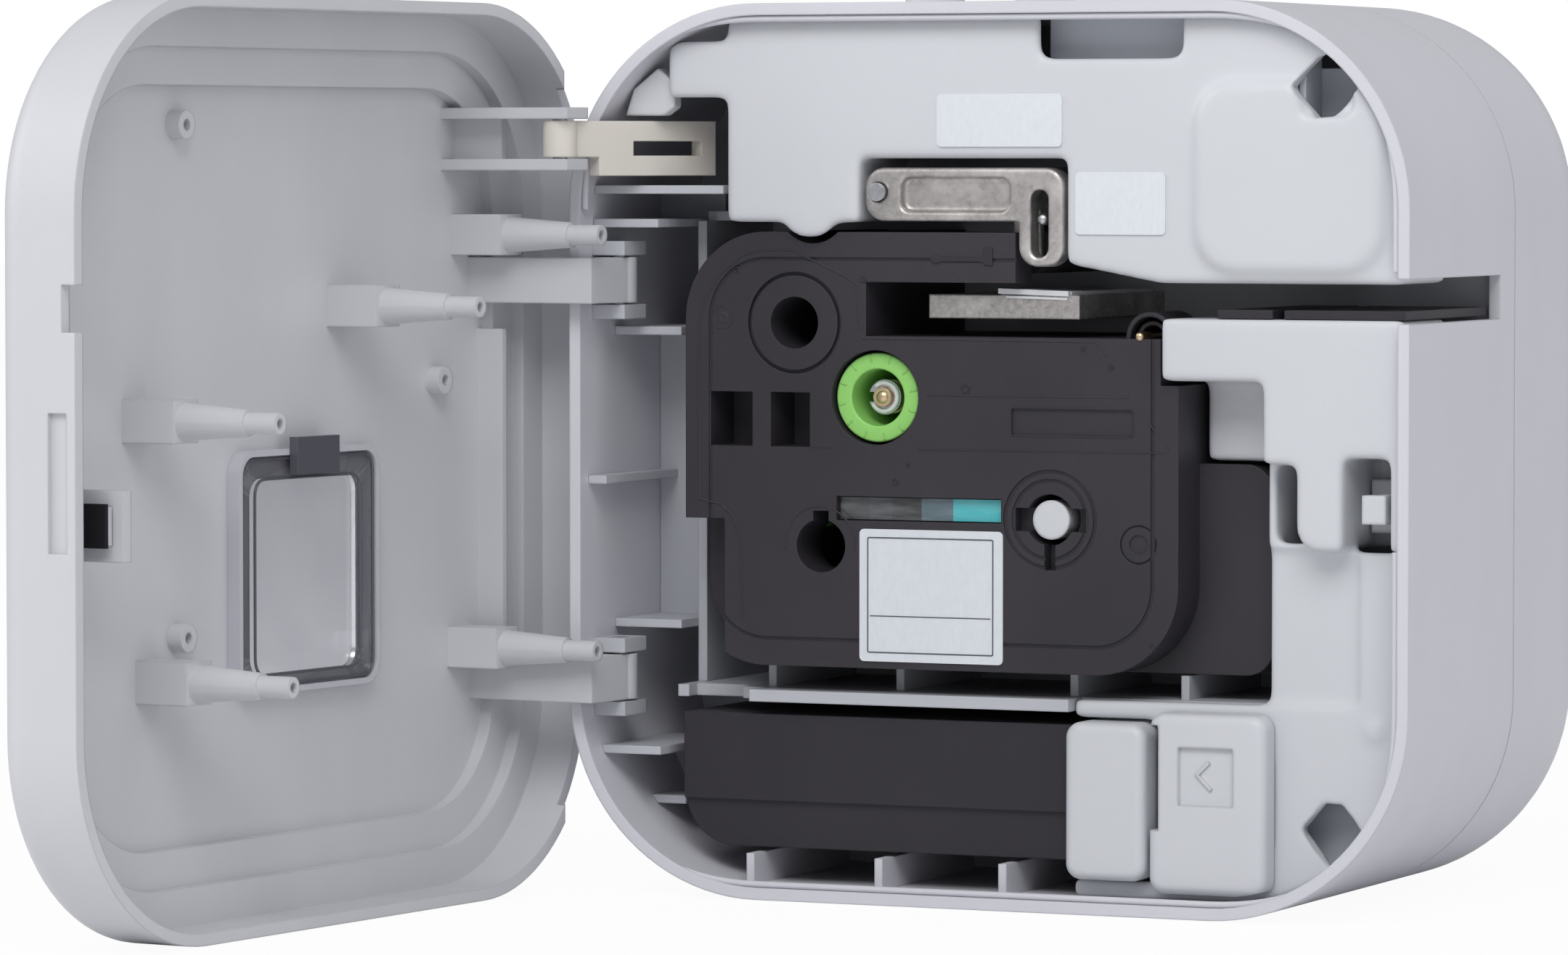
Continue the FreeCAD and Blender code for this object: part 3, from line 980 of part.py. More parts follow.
def button(name, across):
    """One push button with the flange that keeps it in."""
    cap = rod("z", (across, "button_behind_rim"), "button_radius",
              (INNER_TOP + " - 1", "body_height + button_rise"))
    flange = rod("z", (across, "button_behind_rim"), "button_radius + button_clearance + button_flange",
                 (INNER_TOP + " - 0.05 - button_flange_height", INNER_TOP + " - 0.05"))
    place_in_body(name, join(cap, flange))


def controls():
    """Power, feed and door release buttons on the top, with the status light."""
    for name in ("power", "feed", "release"):
        button(name + "_button", name + "_across")
    place_in_body("status_light", rod("z", ("light_across", "button_behind_rim"), "light_radius",
                                      (INNER_TOP, "body_height")))


# ---------------------------------------------------------------- hinge, door and latch
def hinge_brackets():
    """Plates above and below each door arm, and the two pins they hold."""
    plates = []
    for bottom in ("upper_arm_bottom", "lower_arm_bottom"):
        for low in (bottom + " - bracket_gap - bracket_plate", bottom + " + arm_height + bracket_gap"):
            plates.append(block((LEFT + " + shell_wall - 0.6",
                                 LEFT + " + shell_wall + bracket_reach - 2"),
                                ("bracket_front", "bracket_back"), (low, low + " + bracket_plate")))
    bores = [rod("z", (HINGE_X, HINGE_Y), "hinge_pin_radius", ("0", "body_height"))]
    solid = less(join(*plates),
                 less(pillow((LEFT + " - 5", RIGHT + " + 5"), ("0", "body_depth"),
                             ("-5", "body_height + 5"), "corner_radius + 5"),
                                     inner_space(("-1", "body_depth + 1"))), *bores)
    place_in_body("hinge_brackets", solid)
    pins = [rod("z", (HINGE_X, HINGE_Y), "hinge_pin_radius",
                (bottom + " - bracket_gap - bracket_plate",
                 bottom + " + arm_height + bracket_gap + bracket_plate"))
            for bottom in ("upper_arm_bottom", "lower_arm_bottom")]
    place_in_body("hinge_pins", *pins)


FLOOR = "(door_step_rise - door_depth)"


def door_arm(bottom):
    """A gooseneck arm: from the door's floor, round the rim, to the hinge pin."""
    up = (bottom, bottom + " + arm_height")
    leg_top = HINGE_Y + " + arm_leg_top"
    far = HINGE_X + " + arm_reach + arm_thickness"
    return [rod("z", (HINGE_X, HINGE_Y), "arm_boss_radius", up),
            block((HINGE_X, far), (HINGE_Y + " - arm_leg_under", leg_top), up),
            block((HINGE_X + " + arm_reach", far), (FLOOR + " - 0.5", leg_top), up)]


def door_post(across, up):
    """A presser post: a square foot, a tapering column and a plain tip."""
    foot = block((across + " - post_foot / 2", across + " + post_foot / 2"),
                 (FLOOR + " - 0.5", FLOOR + " + post_foot_rise"), (up + " - post_foot / 2",
                                                                   up + " + post_foot / 2"))
    column = cone((across, up), ("post_radius", "post_waist"),
                  (FLOOR + " + post_foot_rise - 0.1", "post_tip - post_tip_length"))
    return [foot, column,
            rod("y", (across, up), "post_tip_radius", ("post_tip - post_tip_length - 0.1", "post_tip"))]


POSTS = [(name + "_post_across", name + "_post_up") for name in ("top", "head", "side", "low", "hinge")]
BOSSES = [("side_boss_across", "upper_boss_up"), ("side_boss_across", "lower_boss_up"),
          ("mid_boss_across", "mid_boss_up")]


def door_shell():
    """The door: a shallow rounded tray with a stepped floor, posts, bosses, ribs, ears and hinge arms."""
    tray = pillow((LEFT, RIGHT), ("-door_depth", "0"), ("0", "body_height"), "corner_radius",
                  front_round="door_round")
    steps = [pillow((LEFT + " + %s" % inset, RIGHT + " - %s" % inset), (floor, "1"),
                    (inset, "body_height - %s" % inset), "corner_radius - %s" % inset)
             for inset, floor in (("door_wall", "-door_depth + 3 * door_step_rise"),
                                  ("(door_wall + door_step_inset)", "-door_depth + 2 * door_step_rise"),
                                  ("(door_wall + 2 * door_step_inset)", FLOOR))]
    relief = block((LEFT + " - 1", LEFT + " + relief_width"), ("-rim_relief", "1"),
                   ("-1", "body_height + 1"))
    window = pillow(("window_left", "window_right"), ("-door_depth - 1", "0"),
                    ("window_bottom", "window_top"), "window_corner")
    groove = block((RIGHT + " - groove_depth", RIGHT + " + 1"),
                   ("-groove_reach - groove_width", "-groove_reach"),
                   ("groove_bottom", "groove_top"))
    exit_notch = block((INNER_RIGHT + " - 1", RIGHT + " + 1"), ("-2.5", "1"),
                       ("exit_bottom", "exit_top"))
    added = [solid for place in POSTS for solid in door_post(*place)]
    added += [rod("y", place, "boss_radius",
                  (FLOOR + " - 0.5", FLOOR + " + boss_rise")) for place in BOSSES]
    added += [solid for bottom in ("upper_arm_bottom", "lower_arm_bottom") for solid in door_arm(bottom)]
    added += [block(("ear_left", "ear_right"), (FLOOR + " - 0.5", "ear_tip"),
                    (low, low + " + ear_plate"))
              for low in ("link_neck_bottom - link_gap - ear_plate", "link_top + link_gap")]
    added.append(block(("ear_left + 1", "ear_left + 1 + door_rib"), (FLOOR + " - 0.5", "-4"),
                       ("link_neck_bottom - link_gap - ear_plate", "link_top + link_gap + ear_plate")))
    added.append(block(("rib_across", "rib_across + door_rib"),
                       (FLOOR + " - 0.5", FLOOR + " + door_rib_rise"),
                       ("corner_radius + 10", "body_height - corner_radius - 20")))
    bores = [rod("y", place, "post_bore",
                 ("post_tip - post_bore_depth", "post_tip + 1")) for place in POSTS]
    bores += [rod("y", place, "boss_bore", (FLOOR + " + 0.4", "0")) for place in BOSSES]
    bores += [rod("z", (HINGE_X, HINGE_Y), "hinge_pin_radius + hinge_clearance", ("0", "body_height")),
              rod("z", ("link_pin_across", "link_pin_behind"), "link_pin_radius",
                  ("link_neck_bottom - 6", "link_top + 6"))]
    place_on_door("door_shell",
                  less(join(less(tray, *steps, relief, window, groove, exit_notch), *added), *bores))


def flange_outline(extra, behind):
    """The outline of the window's inner flange, grown by some extra."""
    return pillow(("window_left - lens_side - " + extra, "window_right + lens_side + " + extra), behind,
                  ("window_bottom - lens_under - " + extra, "window_top + lens_over + " + extra),
                  "window_corner + " + extra)


def door_trim():
    """The smoked window lens, its bezel and clip, the catch loop and the pin of the stay link."""
    flange = flange_outline("0", (FLOOR, FLOOR + " + lens_thickness"))
    pane = pillow(("window_left + window_gap", "window_right - window_gap"),
                  ("-door_depth + window_gap", FLOOR + " + lens_thickness"),
                  ("window_bottom + window_gap",
                   "window_top - window_gap"), "window_corner - window_gap")
    place_on_door("door_window", join(flange, pane))
    bezel = less(flange_outline("(bezel_width + window_gap)", (FLOOR, FLOOR + " + bezel_rise")),
                 flange_outline("window_gap", (FLOOR + " - 1", FLOOR + " + bezel_rise + 1")))
    place_on_door("window_bezel", bezel)
    middle = "(window_left + window_right) / 2"
    place_on_door("window_clip", block((middle + " - clip_width / 2", middle + " + clip_width / 2"),
                                       (FLOOR + " + bezel_rise",
                                        FLOOR + " + bezel_rise + clip_thickness"),
                                       ("window_top + lens_over - clip_height / 2",
                                        "window_top + lens_over + clip_height / 2")))
    inner_face = RIGHT + " - catch_from_side"
    loop = less(block((inner_face, inner_face + " + catch_plate"),
                      ("-door_depth + 2 * door_step_rise", "catch_reach"), ("catch_bottom", "catch_top")),
                block(("0", "body_width"), ("catch_hole_front", "catch_hole_back"),
                      ("catch_hole_bottom", "catch_hole_top")))
    place_on_door("door_catch", loop)
    place_on_door("link_pin", rod("z", ("link_pin_across", "link_pin_behind"), "link_pin_radius",
                                  ("link_neck_bottom - link_gap - ear_plate",
                                   "link_top + link_gap + ear_plate")))


def door_link():
    """The nylon stay link: a barrel on the door's pin, a neck between the ears and a slotted bar."""
    bar = less(block(("link_neck", "link_length"), ("-link_thickness / 2", "link_thickness / 2"),
                     ("link_bottom", "link_top")),
               block(("link_slot_start", "link_length - 3"), ("-link_thickness", "link_thickness"),
                     ("(link_bottom + link_top - link_slot_width) / 2",
                      "(link_bottom + link_top + link_slot_width) / 2")))
    neck = block(("0", "link_neck"), ("-link_thickness / 2", "link_thickness / 2"),
                 ("link_neck_bottom", "link_top"))
    barrel = rod("z", ("0", "0"), "link_barrel_radius", ("link_neck_bottom", "link_top"))
    solid = less(join(bar, neck, barrel),
                 rod("z", ("0", "0"), "link_pin_radius + link_clearance", ("0", "body_height")))
    piece = doc.addObject("Part::Compound", "door_link")
    piece.Label = "door_link"
    piece.Links = [solid]
    piece.Placement = FreeCAD.Placement(FreeCAD.Vector(), FreeCAD.Rotation(FreeCAD.Vector(0, 0, 1), 45))
    pin_x, pin_y = turned("link_pin_across", "link_pin_behind")
    tie(piece, Placement__Rotation__Angle="link_angle")
    tie(piece, Placement__Base__x=pin_x, Placement__Base__y=pin_y + " - body_depth / 2")
    nodes.append(piece)


def latch_hook():
    """The hook that the release button draws back from the door's catch."""
    inner = RIGHT + " - hook_from_side"
    stem = block((inner, inner + " + hook_width"), ("hook_front + 3", "hook_back"),
                 ("hook_bottom", "hook_top"))
    nose = block((inner + " - hook_nose", inner + " + hook_width"),
                 ("hook_front", "hook_front + 3.2"), ("hook_bottom", "hook_top"))
    foot = block(("recess_left + 0.4", "recess_right - 0.4"),
                 ("hook_back", "hook_back + hook_plate"), ("hook_bottom - 2", "hook_top + 2"))
    place_in_body("latch_hook", join(stem, nose, foot))


# ---------------------------------------------------------------- build and export
def build():
    body_shell()
    foot_pads()
    rear_cover()
    cover_screws()
    housing_top()
    housing_side()
    blank_stickers()
    exit_guides()
    cutter_blade()
    cassette_bay()
    bay_shelf()
    hinge_side_frame()
    cassette_cover()
    cassette_case()
    cassette_rolls()
    spindle_cap()
    drive()
    print_head()
    platen_lever()
    platen_roller()
    battery_parts()
    battery_latch()
    power_parts()
    controls()
    hinge_brackets()
    door_shell()
    door_trim()
    door_link()
    latch_hook()
    doc.recompute()


def check():
    """Every object computed, every piece a valid shape."""
    for item in doc.Objects:
        if {"Invalid", "Error"} & set(item.State):
            raise RuntimeError("%s (%s) did not compute" % (item.Name, item.TypeId))
    for piece in nodes:
        if piece.Shape.isNull() or not piece.Shape.isValid() or not piece.Shape.Solids:
            raise RuntimeError(piece.Label + " has no valid shape")


def export():
    os.makedirs("parts", exist_ok=True)
    for piece in nodes:
        piece.Shape.exportStep("parts/%s.step" % piece.Label)
        box = piece.Shape.BoundBox
        print("%-18s solids %d  volume %9.1f  X %7.1f %7.1f  Y %7.1f %7.1f  Z %6.1f %6.1f" % (
            piece.Label, len(piece.Shape.Solids), piece.Shape.Volume,
            box.XMin, box.XMax, box.YMin, box.YMax, box.ZMin, box.ZMax))


build()
check()
export()
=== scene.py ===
"""Looks of the desktop label maker: finishes for every CAD piece, fine moulded detail, camera and light."""
import json
import math

import bmesh
import bpy
from mathutils import Matrix, Vector


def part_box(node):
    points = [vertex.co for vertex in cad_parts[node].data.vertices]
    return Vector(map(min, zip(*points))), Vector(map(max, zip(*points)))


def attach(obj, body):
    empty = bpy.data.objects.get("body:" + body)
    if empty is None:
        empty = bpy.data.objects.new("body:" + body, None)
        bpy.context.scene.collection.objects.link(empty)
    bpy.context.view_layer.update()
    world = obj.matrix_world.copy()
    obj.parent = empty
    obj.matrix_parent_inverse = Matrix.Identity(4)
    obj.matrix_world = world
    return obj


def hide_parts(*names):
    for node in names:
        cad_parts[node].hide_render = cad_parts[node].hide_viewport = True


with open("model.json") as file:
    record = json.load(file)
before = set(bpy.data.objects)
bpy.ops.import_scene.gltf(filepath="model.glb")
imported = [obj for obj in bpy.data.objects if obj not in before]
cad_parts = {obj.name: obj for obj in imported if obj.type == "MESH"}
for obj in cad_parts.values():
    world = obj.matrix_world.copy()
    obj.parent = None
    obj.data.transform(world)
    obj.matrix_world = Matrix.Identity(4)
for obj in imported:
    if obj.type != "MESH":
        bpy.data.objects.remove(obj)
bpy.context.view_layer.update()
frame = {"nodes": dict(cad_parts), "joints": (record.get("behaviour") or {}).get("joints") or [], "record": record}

MM = 0.001
NODES = frame["nodes"]
JOINTS = {joint["name"]: joint for joint in frame["joints"]}
HINGE = Vector(JOINTS["door_hinge"]["pos_m"])
DOOR_ANGLE = math.radians(96)
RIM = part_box("body_shell")[0].y / MM       # the plane where the door meets the body


# ---------------------------------------------------------------- shader building
class Shader:
    """A material's node tree with short ways to add nodes."""

    def __init__(self, name):
        self.material = bpy.data.materials.new(name)
        self.material.use_nodes = True
        self.tree = self.material.node_tree
        self.tree.nodes.clear()
        self.output = self.add("ShaderNodeOutputMaterial")
        self.surface = self.add("ShaderNodeBsdfPrincipled")
        self.join(self.surface.outputs[0], self.output.inputs["Surface"])
        self.place = self.add("ShaderNodeTexCoord").outputs["Object"]

    def add(self, kind, **settings):
        node = self.tree.nodes.new(kind)
        for name, value in settings.items():
            setattr(node, name, value)
        return node

    def join(self, source, target):
        self.tree.links.new(source, target)

    def noise(self, scale, detail=3.0, roughness=0.5, stretch=None):
        """Noise over the object's own coordinates, with features about 1/scale metres apart."""
        node = self.add("ShaderNodeTexNoise")
        node.inputs["Scale"].default_value = scale
        node.inputs["Detail"].default_value = detail
        node.inputs["Roughness"].default_value = roughness
        source = self.place
        if stretch:
            mapping = self.add("ShaderNodeMapping")
            mapping.inputs["Scale"].default_value = stretch
            self.join(source, mapping.inputs["Vector"])
            source = mapping.outputs[0]
        self.join(source, node.inputs["Vector"])
        return node.outputs["Fac"]

    def spread(self, value, low, high, out_low=0.0, out_high=1.0):
        node = self.add("ShaderNodeMapRange")
        node.inputs["From Min"].default_value = low
        node.inputs["From Max"].default_value = high
        node.inputs["To Min"].default_value = out_low
        node.inputs["To Max"].default_value = out_high
        self.join(value, node.inputs["Value"])
        return node.outputs[0]

    def blend(self, factor, first, second):
        """Mix two colours, each a tuple or a socket."""
        node = self.add("ShaderNodeMix", data_type="RGBA")
        self.join(factor, node.inputs["Factor"])
        for socket, colour in ((node.inputs["A"], first), (node.inputs["B"], second)):
            if isinstance(colour, tuple):
                socket.default_value = (*colour, 1.0)
            else:
                self.join(colour, socket)
        return node.outputs["Result"]

    def set(self, **values):
        for name, value in values.items():
            socket = self.surface.inputs[name.replace("_", " ")]
            if hasattr(value, "is_linked"):
                self.join(value, socket)
            else:
                socket.default_value = value

    def relief(self, height, strength, distance, edge=0.0):
        """Bump from a height, over edges softened by a small radius."""
        bump = self.add("ShaderNodeBump")
        bump.inputs["Strength"].default_value = strength
        bump.inputs["Distance"].default_value = distance
        self.join(height, bump.inputs["Height"])
        if edge:
            soft = self.add("ShaderNodeBevel", samples=6)
            soft.inputs["Radius"].default_value = edge
            self.join(soft.outputs[0], bump.inputs["Normal"])
        self.join(bump.outputs[0], self.surface.inputs["Normal"])


def shaded(colour, factor):
    return tuple(channel * factor for channel in colour)


def plastic(name, colour, roughness=0.42, grain=0.25, edge=0.4, wear=0.05, specular=0.4, subsurface=0.0):
    """Moulded plastic: fine spark-eroded grain, faint flow marks and a little handling wear."""
    made = Shader(name)
    flow = made.noise(28, 3, stretch=(1.0, 2.2, 0.7))
    speck = made.noise(1900, 2)
    tint = made.blend(made.spread(flow, 0.35, 0.7), colour, shaded(colour, 1.0 - wear))
    made.set(Base_Color=made.blend(made.spread(speck, 0.6, 0.78, 0.0, 0.35), tint,
                                   shaded(colour, 1.0 - 2 * wear)),
             Roughness=made.spread(made.noise(60, 4), 0.3, 0.75, roughness - 0.05, roughness + 0.07))
    made.set(Specular_IOR_Level=specular)
    if subsurface:
        made.set(Subsurface_Weight=subsurface, Subsurface_Radius=(0.004, 0.004, 0.0045), Subsurface_Scale=0.4)
    made.relief(made.noise(2600, 3), grain, 0.00004, edge * MM)
    return made.material


def cast_metal(name, colour):
    """As-cast metal: coarse skin, darker hollows and bright rubbed patches."""
    made = Shader(name)
    skin = made.noise(900, 6, 0.7)
    patch = made.noise(160, 4, 0.6)
    rough_tone = made.blend(made.spread(skin, 0.35, 0.7), shaded(colour, 0.62), colour)
    made.set(Base_Color=made.blend(made.spread(patch, 0.45, 0.72), rough_tone, shaded(colour, 1.22)),
             Roughness=made.spread(skin, 0.3, 0.7, 0.55, 0.3), Metallic=0.9)
    made.relief(skin, 0.5, 0.00012, 0.5 * MM)
    return made.material


def turned_metal(name, colour, roughness=0.25, stretch=(1.0, 40.0, 1.0)):
    """Drawn or turned metal with fine lines along it."""
    made = Shader(name)
    lines = made.noise(900, 3, 0.6, stretch)
    made.set(Base_Color=made.blend(made.spread(lines, 0.3, 0.7), shaded(colour, 0.82), colour),
             Roughness=made.spread(lines, 0.3, 0.7, roughness, roughness + 0.15), Metallic=1.0)
    made.relief(lines, 0.15, 0.00003, 0.2 * MM)
    return made.material


def rubber(name, colour):
    made = Shader(name)
    dust = made.noise(300, 5, 0.65)
    made.set(Base_Color=made.blend(made.spread(dust, 0.5, 0.8), colour, shaded(colour, 2.2)),
             Roughness=made.spread(dust, 0.3, 0.7, 0.7, 0.9), Specular_IOR_Level=0.25)
    made.relief(made.noise(1500, 4), 0.4, 0.00006, 0.3 * MM)
    return made.material


def smoke_lens(name):
    made = Shader(name)
    swirl = made.noise(90, 3)
    made.set(Base_Color=made.blend(made.spread(swirl, 0.3, 0.7), (0.72, 0.72, 0.77), (0.78, 0.78, 0.82)),
             Roughness=made.spread(made.noise(400, 3), 0.3, 0.7, 0.04,
                                   0.09), Transmission_Weight=0.92, IOR=1.49)
    made.relief(made.noise(120, 2), 0.05, 0.00004, 0.3 * MM)
    return made.material


def paper(name, colour, roughness=0.5):
    made = Shader(name)
    fibre = made.noise(1400, 5, 0.7, (1.0, 1.0, 0.4))
    made.set(Base_Color=made.blend(made.spread(fibre, 0.35, 0.7), colour, shaded(colour, 0.94)),
             Roughness=made.spread(fibre, 0.3, 0.7, roughness, roughness + 0.1))
    made.relief(fibre, 0.15, 0.00002)
    return made.material


def ribbon_window(name):
    """The strip behind the cassette's window: dark reel edges, grey-blue backing, then bright film."""
    made = Shader(name)
    parts = made.add("ShaderNodeSeparateXYZ")
    made.join(made.place, parts.inputs[0])
    stops = made.add("ShaderNodeValToRGB")
    made.join(made.spread(parts.outputs["X"], -0.0275, 0.002), stops.inputs["Fac"])
    ramp = stops.color_ramp
    ramp.interpolation = "CONSTANT"
    ramp.elements[0].position, ramp.elements[0].color = 0.0, (0.010, 0.010, 0.014, 1)
    ramp.elements[1].position, ramp.elements[1].color = 0.18, (0.030, 0.031, 0.040, 1)
    for position, colour in ((0.32, (0.010, 0.010, 0.014, 1)), (0.50, (0.085, 0.14, 0.17, 1)),
                             (0.69, (0.035, 0.50, 0.54, 1))):
        element = ramp.elements.new(position)
        element.color = colour
    lines = made.noise(700, 3, 0.6, (0.15, 1.0, 1.0))
    made.set(Base_Color=made.blend(made.spread(lines, 0.3, 0.7, 0.0, 0.12), stops.outputs["Color"],
                                   (0.9, 0.95, 0.95)),
             Roughness=made.spread(lines, 0.3, 0.7, 0.2, 0.34), Coat_Weight=0.3)
    made.relief(lines, 0.1, 0.00003)
    return made.material


FINISH = {
    "shell_plastic": plastic("shell_plastic", (0.66, 0.66, 0.71), 0.38, 0.2, 0.5, 0.03),
    "door_plastic": plastic("door_plastic", (0.60, 0.605, 0.635), 0.4, 0.25, 0.5, 0.04),
    "housing_plastic": plastic("housing_plastic", (0.645, 0.66, 0.69), 0.34, 0.12, 0.9, 0.03),
    "inner_plastic": plastic("inner_plastic", (0.52, 0.53, 0.57), 0.42, 0.2, 0.4, 0.06),
    "cassette_plastic": plastic("cassette_plastic", (0.042, 0.038, 0.046), 0.45, 0.9, 0.25, 0.25, 0.35),
    "black_plastic": plastic("black_plastic", (0.030, 0.027, 0.034), 0.42, 0.5, 0.3, 0.2, 0.4),
    "green_plastic": plastic("green_plastic", (0.33, 0.72, 0.18), 0.35, 0.15, 0.35, 0.1, 0.45, 0.15),
    "nylon": plastic("nylon", (0.72, 0.68, 0.62), 0.45, 0.3, 0.4, 0.05, 0.35, 0.2),
    "die_cast": cast_metal("die_cast", (0.62, 0.59, 0.57)),
    "steel": turned_metal("steel", (0.62, 0.63, 0.65)),
    "brass": turned_metal("brass", (0.78, 0.60, 0.38)),
    "rubber": rubber("rubber", (0.03, 0.03, 0.033)),
    "smoke_lens": smoke_lens("smoke_lens"),
    "paper": paper("paper", (0.74, 0.77, 0.81)),
    "ribbon": ribbon_window("ribbon"),
    "light_pipe": plastic("light_pipe", (0.55, 0.75, 0.60), 0.2, 0.05, 0.2, 0.03, 0.5, 0.3),
    "ceramic": plastic("ceramic", (0.75, 0.76, 0.78), 0.2, 0.05, 0.15, 0.03, 0.5),
    "board": plastic("board", (0.02, 0.16, 0.07), 0.3, 0.3, 0.15, 0.2),
    "print_grey": paper("print_grey", (0.10, 0.11, 0.13), 0.5),
    "smoke_rim": plastic("smoke_rim", (0.10, 0.10, 0.12), 0.2, 0.1, 0.25, 0.1, 0.5),
    # painted shade: near-black plastic that stands for the shade inside the door catch's slot
    "painted_shade_black": plastic("painted_shade_black", (0.012, 0.012, 0.015), 0.6, 0.2, 0.2, 0.2, 0.2),
    "clear_rim": plastic("clear_rim", (0.55, 0.55, 0.60), 0.2, 0.1, 0.2, 0.05, 0.5),
    "grey_liner": plastic("grey_liner", (0.60, 0.63, 0.69), 0.45, 0.2, 0.3, 0.05),
}
NODE_FINISH = {"window_clip": "smoke_rim", "window_bezel": "clear_rim", "latch_hook": "housing_plastic"}


def finish_cad_nodes():
    for entry in frame["record"]["subparts"]:
        node = NODES[entry["node"]]
        node.data.materials.clear()
        node.data.materials.append(FINISH[NODE_FINISH.get(entry["node"], entry["material_slot"])])


# ---------------------------------------------------------------- moulded detail
RECORD_SLOT = {entry["node"]: entry["material_slot"] for entry in frame["record"]["subparts"]}
COVER_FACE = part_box("cassette_cover")[0].y / MM - RIM      # the cassette's face, behind the rim plane


def settle(name, data, body, slot, replaced=None):
    """Make an object of some data, give it its finish and let it ride on its body."""
    piece = bpy.data.objects.new(name, data)
    bpy.context.scene.collection.objects.link(piece)
    data.materials.clear()
    data.materials.append(FINISH[slot])
    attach(piece, body)
    if replaced:
        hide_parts(replaced)
    return piece


def softened(node, body, voxel, passes, filled=None, cut=None):
    """A skin over a CAD node with its edges blended.

    filled and cut are (outline, depths): a plate added to the node first, and one taken out of it.
    """
    helper = bpy.data.objects.new(node + "_helper", NODES[node].data.copy())
    bpy.context.scene.collection.objects.link(helper)
    extras = [helper]
    if filled:
        joined = bmesh.new()
        joined.from_mesh(helper.data)
        joined.from_mesh(prism(node + "_fill", *filled))
        joined.to_mesh(helper.data)
        joined.free()
    even = helper.modifiers.new("even", "REMESH")
    even.mode, even.voxel_size, even.use_smooth_shade = "VOXEL", voxel * MM, True
    if cut:
        extras.append(bpy.data.objects.new(node + "_cutter", prism(node + "_cutter", *cut)))
        bpy.context.scene.collection.objects.link(extras[1])
        change = helper.modifiers.new("cut", "BOOLEAN")
        change.operation, change.solver, change.object = "DIFFERENCE", "EXACT", extras[1]
    soften = helper.modifiers.new("soften", "SMOOTH")
    soften.factor, soften.iterations = 0.5, passes
    evaluated = helper.evaluated_get(bpy.context.evaluated_depsgraph_get())
    mesh = bpy.data.meshes.new_from_object(evaluated)
    for extra in extras:
        bpy.data.objects.remove(extra)
    return settle(node + "_skin", mesh, body, RECORD_SLOT[node], node)


def bead(name, body, slot, points, radius, closed=False):
    """A fine moulded line: a round bead sunk half into the face, through points (across, behind, up)."""
    curve = bpy.data.curves.new(name, "CURVE")
    curve.dimensions, curve.resolution_u = "3D", 8
    curve.bevel_depth, curve.bevel_resolution, curve.use_fill_caps = radius * MM, 3, True
    spline = curve.splines.new("POLY")
    spline.points.add(len(points) - 1)
    spline.use_cyclic_u = closed
    for point, (across, behind, up) in zip(spline.points, points):
        point.co = (across * MM, (RIM + behind) * MM, up * MM, 1)
    return settle(name, curve, body, slot)


def on_face(pairs, behind):
    return [(across, behind, up) for across, up in pairs]


def circle(across, up, radius, behind, start=0, end=360, parts=48):
    """Points of a circle, or of an arc, that faces forward."""
    angles = [math.radians(start + (end - start) * number / parts) for number in range(parts + 1)]
    if end - start == 360:
        angles = angles[:-1]
    return [(across + radius * math.cos(a), behind, up + radius * math.sin(a)) for a in angles]


def rounded_path(corners, radius, behind, parts=6):
    """A closed path through corners (across, up), each rounded by a radius."""
    points = []
    count = len(corners)
    for number, corner in enumerate(corners):
        here = Vector(corner)
        before = Vector(corners[number - 1]) - here
        after = Vector(corners[(number + 1) % count]) - here
        turn = before.angle(after)
        back = min(radius / math.tan(turn / 2), before.length * 0.49, after.length * 0.49)
        start, end = here + before.normalized() * back, here + after.normalized() * back
        for step in range(parts + 1):
            t = step / parts
            spot = start.lerp(here, t).lerp(here.lerp(end, t), t)
            points.append((spot.x, behind, spot.y))
    return points


def as_mesh(name, made):
    mesh = bpy.data.meshes.new(name)
    made.to_mesh(mesh)
    made.free()
    return mesh


def prism(name, outline, behind, edge=0.0):
    """The mesh of an outline of (across, up) drawn from one depth to another, its edges eased."""
    made = bmesh.new()
    near = [made.verts.new((across * MM, (RIM + behind[0]) * MM, up * MM)) for across, up in outline]
    face = made.faces.new(near)
    grown = bmesh.ops.extrude_face_region(made, geom=[face])
    moved = [item for item in grown["geom"] if isinstance(item, bmesh.types.BMVert)]
    bmesh.ops.translate(made, verts=moved, vec=(0, (behind[1] - behind[0]) * MM, 0))
    bmesh.ops.recalc_face_normals(made, faces=made.faces)
    if edge:
        rim = [item for item in made.edges if item.calc_face_angle(0) > 0.6]
        bmesh.ops.bevel(made, geom=rim, offset=edge * MM, segments=2, affect="EDGES", profile=0.5)
    return as_mesh(name, made)


def slab(name, body, slot, outline, behind, edge):
    """A moulded plate with eased edges."""
    return settle(name, prism(name, outline, behind, edge), body, slot)


def revolved(across, up, profile, parts, closed):
    """A profile of (radius, behind) turned about an axis that points forward, and its rings of points."""
    made = bmesh.new()
    rings = []
    for number in range(parts):
        angle = 2 * math.pi * number / parts
        rings.append([made.verts.new(((across + r * math.cos(angle)) * MM, (RIM + y) * MM,
                                      (up + r * math.sin(angle)) * MM)) for r, y in profile])
    steps = len(profile) if closed else len(profile) - 1
    for number, ring in enumerate(rings):
        following = rings[(number + 1) % parts]
        for step in range(steps):
            after = (step + 1) % len(profile)
            made.faces.new((ring[step], ring[after], following[after], following[step]))
    return made, rings


def tube(name, body, slot, across, up, radii, behind, parts=64):
    """A ring with eased lips, open along its axis: radii are (outer, inner)."""
    outer, inner = radii
    ease = min(0.18, (outer - inner) / 4)
    profile = [(inner, behind[0] + ease), (inner + ease, behind[0]), (outer - ease, behind[0]),
               (outer, behind[0] + ease), (outer, behind[1]), (inner, behind[1])]
    made, _ = revolved(across, up, profile, parts, True)
    bmesh.ops.recalc_face_normals(made, faces=made.faces)
    return settle(name, as_mesh(name, made), body, slot)


